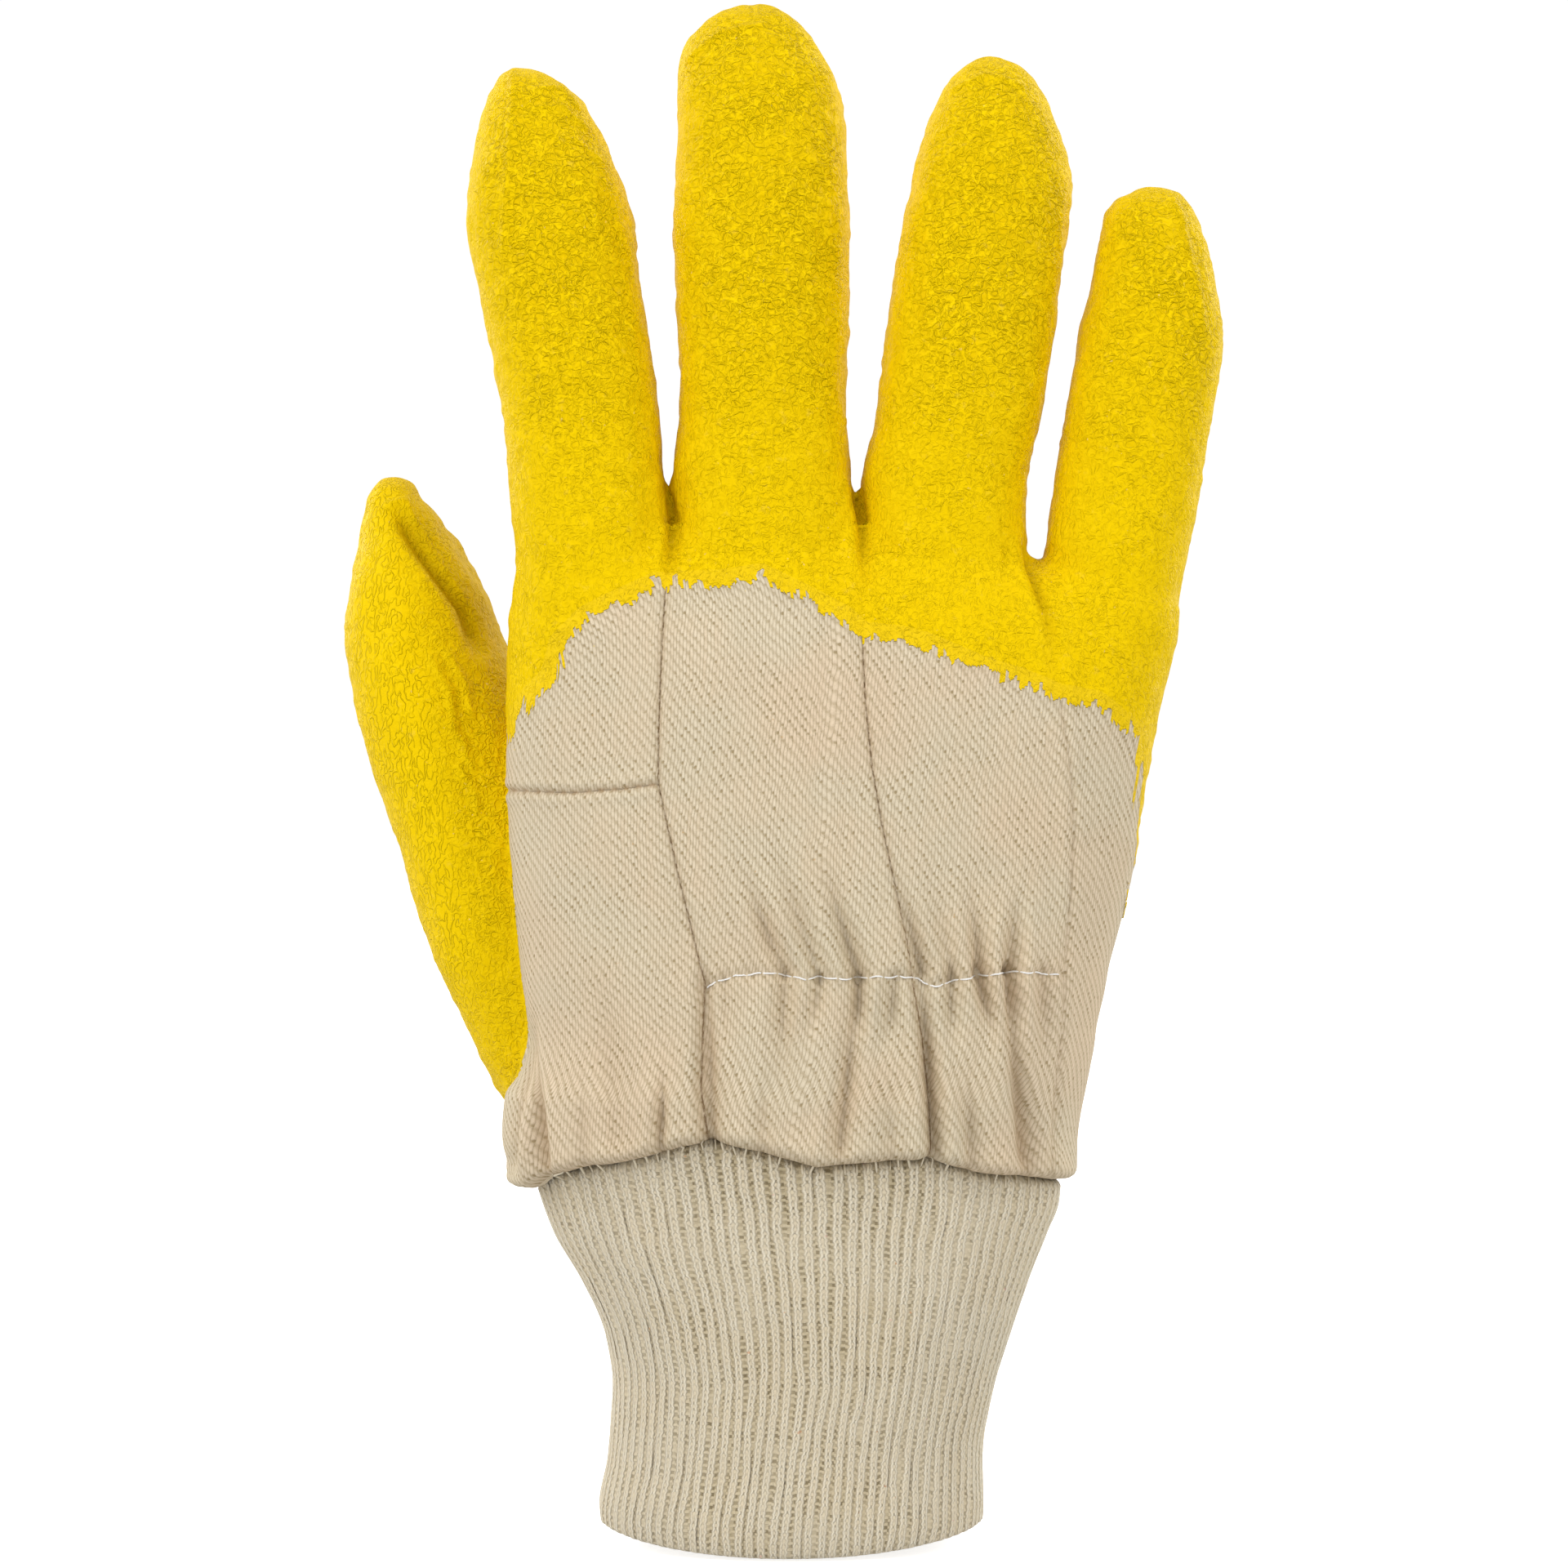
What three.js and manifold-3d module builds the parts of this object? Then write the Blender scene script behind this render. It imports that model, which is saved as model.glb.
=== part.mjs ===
// A right-hand work glove, stood on its cuff: cotton twill back, rubber-coated palm, fingers and thumb,
// and a ribbed knit cuff. Millimetres. The thumb is on the -X side, the back of the hand faces -Y and
// the fingers point along +Z. The origin is the middle of the cuff's open lower end.
import * as THREE from "three";
import { mergeVertices } from "three/addons/utils/BufferGeometryUtils.js";
import Module from "manifold-3d";

const wasm = await Module();
wasm.setup();

// Driving dimensions
const COATED_WALL = 1.6;
const COTTON_WALL = 2.4;
const KNIT_WALL = 2.0;
const SEAM_GAP = 0.3;
const FINGER_BEND = 9; // how far a fingertip 100 mm past the knuckles leans towards the palm
const FINGER_SQUARENESS = 2.2; // exponent of the superellipse across a finger
const HAND_SQUARENESS = 2.6;
const CUFF_SQUARENESS = 2.3;
const RIB_COUNT = 78;
const RIB_HEIGHT = 0.8;
const CUFF_TUCK = 2.5; // how far the cuff runs up inside the cotton
const REACH = 160; // half the length of a cutting prism

// Sections of the hand from the cuff seam to the knuckles: the extent to each side at height z.
const HAND = [
  { z: 55.0, left: -45.2, right: 46.2, front: -24.6, back: 25.8 },
  { z: 60.0, left: -47.8, right: 47.0, front: -25.4, back: 26.6 },
  { z: 67.0, left: -49.0, right: 48.2, front: -26.2, back: 28.0 },
  { z: 75.0, left: -48.4, right: 49.4, front: -26.2, back: 28.0 },
  { z: 80.0, left: -46.2, right: 50.5, front: -25.6, back: 27.0 },
  { z: 86.0, left: -44.8, right: 51.5, front: -25.0, back: 26.0 },
  { z: 96.0, left: -45.8, right: 53.4, front: -24.2, back: 25.0 },
  { z: 110.0, left: -47.3, right: 57.0, front: -23.0, back: 23.6 },
  { z: 127.0, left: -48.4, right: 59.8, front: -21.2, back: 21.6 },
  { z: 143.0, left: -48.4, right: 62.4, front: -19.0, back: 18.6 },
  { z: 156.0, left: -48.6, right: 65.2, front: -16.6, back: 16.2 },
  { z: 165.0, left: -47.2, right: 65.8, front: -14.0, back: 14.0 },
  { z: 169.5, left: -45.6, right: 42.0, front: -9.5, back: 10.0 },
  { z: 173.0, left: -42.0, right: 38.0, front: -3.0, back: 4.0 },
];

// Sections of each finger from its root inside the hand to its tip. Depth runs from back to palm.
const FINGERS = {
  index: [
    { z: 150.0, left: -45.0, right: -23.5, depth: 22.0 },
    { z: 165.0, left: -47.0, right: -21.4, depth: 24.0 },
    { z: 178.0, left: -48.0, right: -21.7, depth: 23.0 },
    { z: 190.0, left: -49.2, right: -22.5, depth: 22.0 },
    { z: 206.0, left: -52.0, right: -24.6, depth: 22.0 },
    { z: 223.0, left: -55.4, right: -26.9, depth: 22.5 },
    { z: 232.0, left: -55.3, right: -29.5, depth: 21.5 },
    { z: 240.0, left: -53.5, right: -33.0, depth: 19.0 },
    { z: 245.0, left: -52.2, right: -35.8, depth: 16.0 },
    { z: 248.7, left: -50.9, right: -40.0, depth: 11.0 },
    { z: 250.7, left: -48.8, right: -44.0, depth: 4.0 },
  ],
  middle: [
    { z: 150.0, left: -18.5, right: 9.5, depth: 22.0 },
    { z: 165.0, left: -20.6, right: 11.0, depth: 24.5 },
    { z: 180.0, left: -20.4, right: 10.1, depth: 23.5 },
    { z: 190.0, left: -19.1, right: 9.3, depth: 22.5 },
    { z: 207.0, left: -19.5, right: 9.6, depth: 22.0 },
    { z: 223.0, left: -20.2, right: 9.7, depth: 22.0 },
    { z: 238.0, left: -19.6, right: 9.3, depth: 21.5 },
    { z: 249.0, left: -19.6, right: 7.3, depth: 18.5 },
    { z: 255.0, left: -18.6, right: 4.0, depth: 15.0 },
    { z: 259.6, left: -14.7, right: 0.3, depth: 9.5 },
    { z: 262.2, left: -9.0, right: -4.0, depth: 3.0 },
  ],
  ring: [
    { z: 148.0, left: 14.0, right: 39.5, depth: 22.0 },
    { z: 165.0, left: 12.2, right: 40.6, depth: 24.0 },
    { z: 178.0, left: 11.8, right: 40.0, depth: 23.0 },
    { z: 190.0, left: 14.0, right: 42.3, depth: 22.0 },
    { z: 206.0, left: 16.3, right: 44.6, depth: 21.5 },
    { z: 222.0, left: 18.6, right: 47.1, depth: 21.5 },
    { z: 232.0, left: 20.6, right: 47.8, depth: 21.0 },
    { z: 240.0, left: 22.9, right: 45.9, depth: 18.5 },
    { z: 246.0, left: 25.2, right: 43.2, depth: 15.0 },
    { z: 250.2, left: 28.0, right: 40.2, depth: 10.0 },
    { z: 252.7, left: 31.8, right: 36.2, depth: 3.0 },
  ],
  little: [
    { z: 143.0, left: 45.0, right: 60.5, depth: 19.0 },
    { z: 156.0, left: 42.6, right: 65.0, depth: 21.0 },
    { z: 166.0, left: 42.6, right: 66.9, depth: 21.5 },
    { z: 178.0, left: 44.4, right: 69.2, depth: 20.5 },
    { z: 192.0, left: 46.5, right: 71.6, depth: 20.0 },
    { z: 204.0, left: 48.8, right: 73.2, depth: 19.5 },
    { z: 214.0, left: 50.9, right: 72.0, depth: 18.5 },
    { z: 221.0, left: 52.5, right: 70.4, depth: 16.0 },
    { z: 226.4, left: 54.2, right: 68.0, depth: 12.0 },
    { z: 229.7, left: 59.0, right: 64.0, depth: 3.5 },
  ],
};

// Sections of the thumb, which leans away from the hand. Middle is the depth of its centre line.
const THUMB = [
  { z: 68.0, left: -44.0, right: -26.0, depth: 12.0, middle: 12.0 },
  { z: 76.0, left: -51.2, right: -23.0, depth: 19.0, middle: 12.2 },
  { z: 85.0, left: -55.5, right: -22.0, depth: 24.0, middle: 12.8 },
  { z: 101.0, left: -63.0, right: -26.0, depth: 26.5, middle: 14.2 },
  { z: 118.0, left: -68.5, right: -32.0, depth: 26.5, middle: 15.8 },
  { z: 135.0, left: -74.0, right: -41.5, depth: 26.0, middle: 17.8 },
  { z: 146.0, left: -76.8, right: -47.0, depth: 25.5, middle: 19.2 },
  { z: 154.0, left: -77.9, right: -50.4, depth: 24.5, middle: 20.3 },
  { z: 162.0, left: -77.3, right: -53.2, depth: 22.5, middle: 21.3 },
  { z: 169.7, left: -75.6, right: -57.6, depth: 18.5, middle: 22.4 },
  { z: 175.0, left: -74.7, right: -62.0, depth: 14.5, middle: 23.2 },
  { z: 179.4, left: -73.7, right: -65.6, depth: 10.0, middle: 23.8 },
  { z: 181.6, left: -71.2, right: -67.6, depth: 3.5, middle: 24.0 },
];

// Sections of the cuff up to where it tucks under the cotton.
const CUFF = [
  { z: 0.0, left: -32.0, right: 32.0, front: -21.0, back: 21.0 },
  { z: 6.0, left: -32.9, right: 32.8, front: -21.4, back: 21.4 },
  { z: 15.0, left: -31.4, right: 32.6, front: -20.8, back: 21.0 },
  { z: 27.0, left: -30.8, right: 34.0, front: -20.4, back: 21.0 },
  { z: 35.0, left: -32.0, right: 36.1, front: -20.8, back: 21.4 },
  { z: 44.0, left: -35.8, right: 38.8, front: -21.6, back: 22.2 },
  { z: 52.0, left: -40.4, right: 41.8, front: -22.2, back: 23.0 },
  { z: 58.0, left: -42.8, right: 44.0, front: -22.6, back: 23.6 },
  { z: 66.0, left: -45.0, right: 45.2, front: -23.2, back: 24.8 },
  { z: 74.0, left: -45.4, right: 46.2, front: -23.4, back: 25.2 },
];

// Lines across the glove, as points seen from the front.
const CUFF_SEAM_BACK_OF_HAND = [
  { x: -60, z: 58.2 },
  { x: -45, z: 60.0 },
  { x: -37, z: 64.2 },
  { x: -28, z: 65.8 },
  { x: -13, z: 69.6 },
  { x: 4, z: 65.1 },
  { x: 23, z: 66.4 },
  { x: 42, z: 61.8 },
  { x: 60, z: 58.2 },
];
const CUFF_SEAM_PALM = [
  { x: -60, z: 58.2 },
  { x: -40, z: 62.5 },
  { x: 0, z: 65.0 },
  { x: 40, z: 62.5 },
  { x: 60, z: 58.2 },
];
const COATING_EDGE_BACK_OF_HAND = [
  { x: -60, z: 133.0 },
  { x: -47, z: 136.0 },
  { x: -42, z: 143.5 },
  { x: -38, z: 150.5 },
  { x: -30, z: 157.4 },
  { x: -20, z: 161.4 },
  { x: -5, z: 162.0 },
  { x: 4, z: 157.4 },
  { x: 12, z: 151.8 },
  { x: 21, z: 150.8 },
  { x: 38, z: 144.4 },
  { x: 50, z: 141.4 },
  { x: 55, z: 138.0 },
];
const COATING_EDGE_LITTLE_SIDE = [
  { x: 57.0, z: 135.5 },
  { x: 57.6, z: 126.0 },
  { x: 56.6, z: 114.0 },
  { x: 90.0, z: 112.0 },
];
const COATING_EDGE_PALM = [
  { x: -90, z: 73.0 },
  { x: -44, z: 75.0 },
  { x: 0, z: 78.0 },
  { x: 28, z: 82.0 },
  { x: 44, z: 94.0 },
  { x: 55, z: 111.0 },
  { x: 90, z: 115.0 },
];
const EDGE_TOOTH = { pitch: 6, height: 1.6 };

// Seams between the four strips of the back, from above the fingertips down past the cuff seam.
const STRIP_SEAMS = [
  [
    { x: -21.2, z: 280 },
    { x: -21.2, z: 181 },
    { x: -20.6, z: 171 },
    { x: -21.9, z: 146 },
    { x: -22.2, z: 130 },
    { x: -18.9, z: 113 },
    { x: -15.0, z: 97 },
    { x: -15.0, z: 83 },
    { x: -14.0, z: 70 },
    { x: -14.0, z: 40 },
  ],
  [
    { x: 11.1, z: 280 },
    { x: 11.1, z: 177 },
    { x: 11.8, z: 160 },
    { x: 12.1, z: 142 },
    { x: 14.8, z: 121 },
    { x: 19.6, z: 98 },
    { x: 22.9, z: 77 },
    { x: 23.1, z: 66 },
    { x: 23.1, z: 40 },
  ],
  [
    { x: 51.0, z: 280 },
    { x: 51.0, z: 226 },
    { x: 48.0, z: 212 },
    { x: 44.4, z: 192 },
    { x: 42.3, z: 178 },
    { x: 41.0, z: 166 },
    { x: 43.4, z: 150 },
    { x: 45.6, z: 134 },
    { x: 46.7, z: 119 },
    { x: 45.0, z: 94 },
    { x: 43.2, z: 67 },
    { x: 43.0, z: 40 },
  ],
];
const KNUCKLE_SEAM = [
  { x: -60, z: 127.2 },
  { x: -36, z: 126.9 },
  { x: -10, z: 129.0 },
];

// Valleys pulled into the cotton, each from its upper end to its lower end.
const FOLDS = [
  { xTop: -43.4, zTop: 82, xBottom: -41.4, zBottom: 62, depth: 1.2, width: 1.6 },
  { xTop: -31.0, zTop: 91, xBottom: -29.0, zBottom: 68, depth: 0.6, width: 3.4 },
  { xTop: -21.4, zTop: 79, xBottom: -21.8, zBottom: 66, depth: 1.0, width: 1.4 },
  { xTop: -15.0, zTop: 96, xBottom: -13.6, zBottom: 66, depth: 1.3, width: 2.2 },
  { xTop: -7.4, zTop: 112, xBottom: -0.8, zBottom: 90, depth: 1.0, width: 1.8 },
  { xTop: 8.4, zTop: 110, xBottom: 11.2, zBottom: 88, depth: 1.1, width: 1.8 },
  { xTop: 10.0, zTop: 94, xBottom: 8.0, zBottom: 66, depth: 0.8, width: 2.4 },
  { xTop: 15.0, zTop: 118, xBottom: 19.4, zBottom: 98, depth: 1.2, width: 1.8 },
  { xTop: 19.4, zTop: 97, xBottom: 23.2, zBottom: 64, depth: 1.3, width: 2.2 },
  { xTop: 32.2, zTop: 108, xBottom: 33.6, zBottom: 84, depth: 1.0, width: 1.8 },
  { xTop: 36.2, zTop: 106, xBottom: 39.4, zBottom: 64, depth: 1.2, width: 1.9 },
];
const ELASTIC_LINE = { xLeft: -14, xRight: 44, z: 96.6, depth: 0.9, width: 1.5 };

// How finely each surface is sampled
const HAND_ROWS = [
  55, 60, 65, 70, 75, 82, 89, 94.4, 96.6, 98.8, 105, 113, 123, 134, 145, 157, 165, 169.5, 173,
];
const HAND_FRONT_STEPS = 31;
const HAND_BACK_STEPS = 12;
const FINGER_STEPS = 8; // on each of the two halves of its section
const HOLLOW_FINGER_STEPS = 6;
const HOLLOW_HAND_STEPS = 10;

// Interpolation through the rows of a table, by a cubic whose slopes never overshoot the rows.
function valueAt(rows, key, at, column) {
  const last = rows.length - 1;
  if (at <= rows[0][key]) return rows[0][column];
  if (at >= rows[last][key]) return rows[last][column];
  let i = 0;
  while (rows[i + 1][key] < at) i += 1;
  const slope = (a) => (rows[a + 1][column] - rows[a][column]) / (rows[a + 1][key] - rows[a][key]);
  const tangent = (a) => {
    if (a === 0) return slope(0);
    if (a === last) return slope(last - 1);
    const before = slope(a - 1);
    const after = slope(a);
    return before * after <= 0 ? 0 : (2 * before * after) / (before + after);
  };
  const span = rows[i + 1][key] - rows[i][key];
  const t = (at - rows[i][key]) / span;
  const start = rows[i][column] * (1 + 2 * t) * (1 - t) ** 2 + tangent(i) * span * t * (1 - t) ** 2;
  const end = rows[i + 1][column] * t * t * (3 - 2 * t) - tangent(i + 1) * span * t * t * (1 - t);
  return start + end;
}

// The depth of a finger's centre line at height z.
function fingerMiddle(z) {
  return z < 160 ? 0 : FINGER_BEND * ((z - 160) / 100) ** 1.5;
}

// One section of a hand or cuff table, drawn in by inset on every side.
function handSection(table, z, inset = 0) {
  return {
    z,
    left: valueAt(table, "z", z, "left") + inset,
    right: valueAt(table, "z", z, "right") - inset,
    front: valueAt(table, "z", z, "front") + inset,
    back: valueAt(table, "z", z, "back") - inset,
  };
}

// One section of a finger or thumb table.
function fingerSection(table, z, inset = 0) {
  const middle = "middle" in table[0] ? valueAt(table, "z", z, "middle") : fingerMiddle(z);
  const half = valueAt(table, "z", z, "depth") / 2 - inset;
  return {
    z,
    left: valueAt(table, "z", z, "left") + inset,
    right: valueAt(table, "z", z, "right") - inset,
    front: middle - half,
    back: middle + half,
  };
}

// Points spaced evenly along a superellipse section: across the front from left to right, then along the
// back from right to left. The widest line of the section lies midway between front and back.
function ringOf(section, squareness, frontSteps, backSteps) {
  const centreX = (section.left + section.right) / 2;
  const centreY = (section.front + section.back) / 2;
  const halfX = (section.right - section.left) / 2;
  const halfY = (section.back - section.front) / 2;
  const samples = 240;
  const ring = [];
  for (const [side, steps] of [[-1, frontSteps], [1, backSteps]]) {
    const arc = [];
    let length = 0;
    for (let i = 0; i <= samples; i += 1) {
      const angle = (Math.PI * i) / samples;
      const c = -side * -Math.cos(angle);
      const x = centreX + halfX * Math.sign(c) * Math.abs(c) ** (2 / squareness);
      const y = centreY + side * halfY * Math.abs(Math.sin(angle)) ** (2 / squareness);
      if (i > 0) length += Math.hypot(x - arc[i - 1].x, y - arc[i - 1].y);
      arc.push({ x, y, length });
    }
    for (let step = 0; step < steps; step += 1) {
      const wanted = (length * step) / steps;
      const next = Math.max(1, arc.findIndex((p) => p.length >= wanted));
      const from = arc[next - 1];
      const share = (wanted - from.length) / (arc[next].length - from.length);
      ring.push(
        new THREE.Vector3(
          from.x + share * (arc[next].x - from.x),
          from.y + share * (arc[next].y - from.y),
          section.z,
        ),
      );
    }
  }
  return ring;
}

// A closed skin through rings of equal length, from the lowest to the highest, capped at both ends.
function loft(rings) {
  const count = rings[0].length;
  const points = rings.flat();
  const index = [];
  for (let row = 0; row < rings.length - 1; row += 1) {
    for (let i = 0; i < count; i += 1) {
      const a = row * count + i;
      const b = row * count + ((i + 1) % count);
      index.push(a, b, b + count, a, b + count, a + count);
    }
  }
  for (const [row, turn] of [[0, 1], [rings.length - 1, 0]]) {
    const middle = rings[row].reduce((sum, p) => sum.add(p), new THREE.Vector3()).divideScalar(count);
    points.push(middle);
    for (let i = 0; i < count; i += 1) {
      const a = row * count + i;
      const b = row * count + ((i + 1) % count);
      index.push(...(turn ? [b, a] : [a, b]), points.length - 1);
    }
  }
  const geometry = new THREE.BufferGeometry().setFromPoints(points);
  geometry.setIndex(index);
  return geometry;
}

function solidOf(geometry) {
  const bare = geometry.clone();
  bare.deleteAttribute("normal");
  bare.deleteAttribute("uv");
  const merged = mergeVertices(bare, 1e-5);
  return new wasm.Manifold(
    new wasm.Mesh({
      numProp: 3,
      vertProperties: merged.attributes.position.array,
      triVerts: new Uint32Array(merged.index.array),
    }),
  );
}

function geometryOf(solid) {
  const mesh = solid.getMesh();
  const geometry = new THREE.BufferGeometry();
  geometry.setAttribute("position", new THREE.BufferAttribute(mesh.vertProperties, 3));
  geometry.setIndex(new THREE.BufferAttribute(mesh.triVerts, 1));
  return geometry;
}

// The main body of a cut solid, without the slivers that a cut may leave.
function mainBody(solid) {
  return solid.decompose().sort((a, b) => b.volume() - a.volume())[0];
}

// A prism through the whole glove: an outline drawn in x and z, pushed along y.
function prismThroughDepth(outline) {
  const shape = new THREE.Shape(outline.map((p) => new THREE.Vector2(p.x, p.z)));
  const prism = new THREE.ExtrudeGeometry(shape, { depth: 2 * REACH, bevelEnabled: false });
  prism.translate(0, 0, -REACH);
  const across = new THREE.Vector3(1, 0, 0);
  const up = new THREE.Vector3(0, 0, 1);
  prism.applyMatrix4(new THREE.Matrix4().makeBasis(across, up, new THREE.Vector3(0, -1, 0)));
  return solidOf(prism);
}

// A prism across the whole glove: an outline drawn in y and z, pushed along x.
function prismAcross(outline) {
  const shape = new THREE.Shape(outline.map((p) => new THREE.Vector2(p.y, p.z)));
  const prism = new THREE.ExtrudeGeometry(shape, { depth: 2 * REACH, bevelEnabled: false });
  prism.translate(0, 0, -REACH);
  const deep = new THREE.Vector3(0, 1, 0);
  const up = new THREE.Vector3(0, 0, 1);
  prism.applyMatrix4(new THREE.Matrix4().makeBasis(deep, up, new THREE.Vector3(1, 0, 0)));
  return solidOf(prism);
}

// Everything in front of a surface y = middle(z), or behind it, less half a seam gap.
function halfSpace(middle, side) {
  const outline = [];
  for (let z = 40; z <= 280; z += 8) outline.push({ y: middle(z) + (side * SEAM_GAP) / 2, z });
  outline.push({ y: side * REACH, z: 280 }, { y: side * REACH, z: 40 });
  return prismAcross(outline);
}

// How far the cotton is pushed in at a point of the back of the hand.
function foldDepth(x, z) {
  let depth = 0;
  for (const fold of FOLDS) {
    const t = (fold.zTop - z) / (fold.zTop - fold.zBottom);
    const reach = THREE.MathUtils.smoothstep(t, -0.05, 0.3) * (1 - THREE.MathUtils.smoothstep(t, 0.9, 1.2));
    const line = THREE.MathUtils.lerp(fold.xTop, fold.xBottom, THREE.MathUtils.clamp(t, 0, 1));
    depth = Math.max(depth, fold.depth * reach * Math.exp(-(((x - line) / fold.width) ** 2)));
  }
  const inside = x > ELASTIC_LINE.xLeft && x < ELASTIC_LINE.xRight;
  const pinch = inside ? Math.exp(-(((z - ELASTIC_LINE.z) / ELASTIC_LINE.width) ** 2)) : 0;
  return Math.max(depth, ELASTIC_LINE.depth * pinch);
}

function handOuter() {
  return loft(
    HAND_ROWS.map((z) => {
      const section = handSection(HAND, z);
      const ring = ringOf(section, HAND_SQUARENESS, HAND_FRONT_STEPS, HAND_BACK_STEPS);
      for (const point of ring) {
        const facing = THREE.MathUtils.clamp((1.3 * point.y) / section.front, 0, 1);
        if (point.y < 0) point.y += facing * foldDepth(point.x, z);
      }
      return ring;
    }),
  );
}

// The outside of the hand without folds, grown on every side by a clearance.
function handEnvelope(clearance) {
  const rows = [50, 67, 75, 80, 86, 96, 110, 127, 143, 156, 165];
  return loft(rows.map((z) => ringOf(handSection(HAND, z, -clearance), HAND_SQUARENESS, 22, 22)));
}

function handInner() {
  const rows = [40, 58, 72, 84, 105, 130, 154, 160];
  return loft(
    rows.map((z) => {
      const section = handSection(HAND, z, COATED_WALL);
      section.front += COTTON_WALL - COATED_WALL;
      return ringOf(section, HAND_SQUARENESS, HOLLOW_HAND_STEPS, HOLLOW_HAND_STEPS);
    }),
  );
}

function fingerOuter(table) {
  return loft(
    table.map((row) => ringOf(fingerSection(table, row.z), FINGER_SQUARENESS, FINGER_STEPS, FINGER_STEPS)),
  );
}

// The hollow of a finger, from inside the hand to a wall's thickness below the tip.
function fingerInner(table) {
  const top = table.at(-1).z - 2.2;
  const rows = table.map((row) => row.z).filter((z, i) => z < top - 3 && (i % 2 === 0 || z > top - 14));
  rows.push(top - 1.2);
  return loft(
    rows.map((z) =>
      ringOf(fingerSection(table, z, COATED_WALL), FINGER_SQUARENESS, HOLLOW_FINGER_STEPS, HOLLOW_FINGER_STEPS),
    ),
  );
}

// A line moved sideways by a distance, to its left as it runs from its first point to its last.
function movedLine(line, distance) {
  return line.map((point, i) => {
    const before = line[Math.max(0, i - 1)];
    const after = line[Math.min(line.length - 1, i + 1)];
    const length = Math.hypot(after.x - before.x, after.z - before.z);
    return {
      x: point.x - (distance * (after.z - before.z)) / length,
      z: point.z + (distance * (after.x - before.x)) / length,
    };
  });
}

// A prism between two seams, drawn in by half a seam gap on each side. A missing seam leaves that side open.
function stripBetween(leftSeam, rightSeam) {
  const leftSide = leftSeam ? movedLine(leftSeam, SEAM_GAP / 2) : [{ x: -REACH, z: 280 }, { x: -REACH, z: 40 }];
  const rightSide = rightSeam
    ? movedLine(rightSeam, -SEAM_GAP / 2)
    : [{ x: REACH, z: 280 }, { x: REACH, z: 40 }];
  return prismThroughDepth([...leftSide, ...rightSide.reverse()]);
}

// A line across the glove at regular steps, with teeth where the rubber ran into the cloth.
function sampledLine(points, step, tooth = 0) {
  const line = [];
  const first = points[0].x;
  const last = points.at(-1).x;
  const count = Math.round((last - first) / step);
  for (let i = 0; i <= count; i += 1) {
    const x = first + ((last - first) * i) / count;
    line.push({ x, z: valueAt(points, "x", x, "z") + (i % 2 ? tooth / 2 : -tooth / 2) });
  }
  return line;
}

// The part of space above or below a line across the glove.
function sideOfLine(line, side) {
  const edge = movedLine(line, side * 0.6 * SEAM_GAP);
  const limit = side > 0 ? 300 : 20;
  return prismThroughDepth([...edge, { x: edge.at(-1).x, z: limit }, { x: edge[0].x, z: limit }]);
}

const backCoatingEdge = [
  ...sampledLine(COATING_EDGE_BACK_OF_HAND, EDGE_TOOTH.pitch / 2, EDGE_TOOTH.height),
  ...COATING_EDGE_LITTLE_SIDE,
];
const palmCoatingEdge = sampledLine(COATING_EDGE_PALM, 6);
const backCuffSeam = sampledLine(CUFF_SEAM_BACK_OF_HAND, 5);
const palmCuffSeam = sampledLine(CUFF_SEAM_PALM, 8);

// The knit cuff: ribs as a zigzag round the outside, and a plain inside. Each rib runs up to a little above
// the seam, so its rows are spread over its own length.
function cuffSolid() {
  const top = CUFF.at(-1).z;
  const outerRows = [0, 16, 34, 52, top];
  const ringAt = (z) => ringOf(handSection(CUFF, z), CUFF_SQUARENESS, RIB_COUNT, RIB_COUNT);
  const ribLength = ringAt(62).map((point) => {
    const seam = point.y < 0 ? CUFF_SEAM_BACK_OF_HAND : CUFF_SEAM_PALM;
    return valueAt(seam, "x", point.x, "z") + CUFF_TUCK;
  });
  const outer = loft(
    outerRows.map((row) =>
      ribLength.map((length, i) => {
        const point = ringAt((row * length) / top)[i];
        const outward = new THREE.Vector3(point.x, point.y, 0).normalize();
        return point.addScaledVector(outward, i % 2 ? 0 : -RIB_HEIGHT);
      }),
    ),
  );
  const innerRows = [-5, 14, 36, 58, 80];
  const inner = loft(
    innerRows.map((z) => ringOf(handSection(CUFF, z, KNIT_WALL), CUFF_SQUARENESS, 18, 18)),
  );
  return solidOf(outer).subtract(solidOf(inner));
}

// What the cuff takes up, with clearance, which the cotton has to stay clear of.
function cuffEnvelope() {
  const rows = [40, 58, 66, 74];
  return loft(rows.map((z) => ringOf(handSection(CUFF, z, -SEAM_GAP), CUFF_SQUARENESS, 22, 22)));
}

const coated = new THREE.MeshStandardMaterial({ color: 0xe8c40c, roughness: 0.55, metalness: 0 });
const cotton = new THREE.MeshStandardMaterial({ color: 0xd8ccb0, roughness: 0.95, metalness: 0 });
const knit = new THREE.MeshStandardMaterial({ color: 0xcfc4a4, roughness: 0.95, metalness: 0 });

const glove = new THREE.Group();
glove.name = "glove";

function add(name, solid, material) {
  const mesh = new THREE.Mesh(geometryOf(mainBody(solid)), material);
  mesh.name = name;
  glove.add(mesh);
}

// The whole hollow of the glove, which every piece is cut by.
const thumbInner = solidOf(fingerInner(THUMB));
const hollow = Object.values(FINGERS)
  .map((table) => solidOf(fingerInner(table)))
  .reduce((sum, finger) => sum.add(finger), solidOf(handInner()).add(thumbInner))
  .add(solidOf(cuffEnvelope()));

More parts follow.
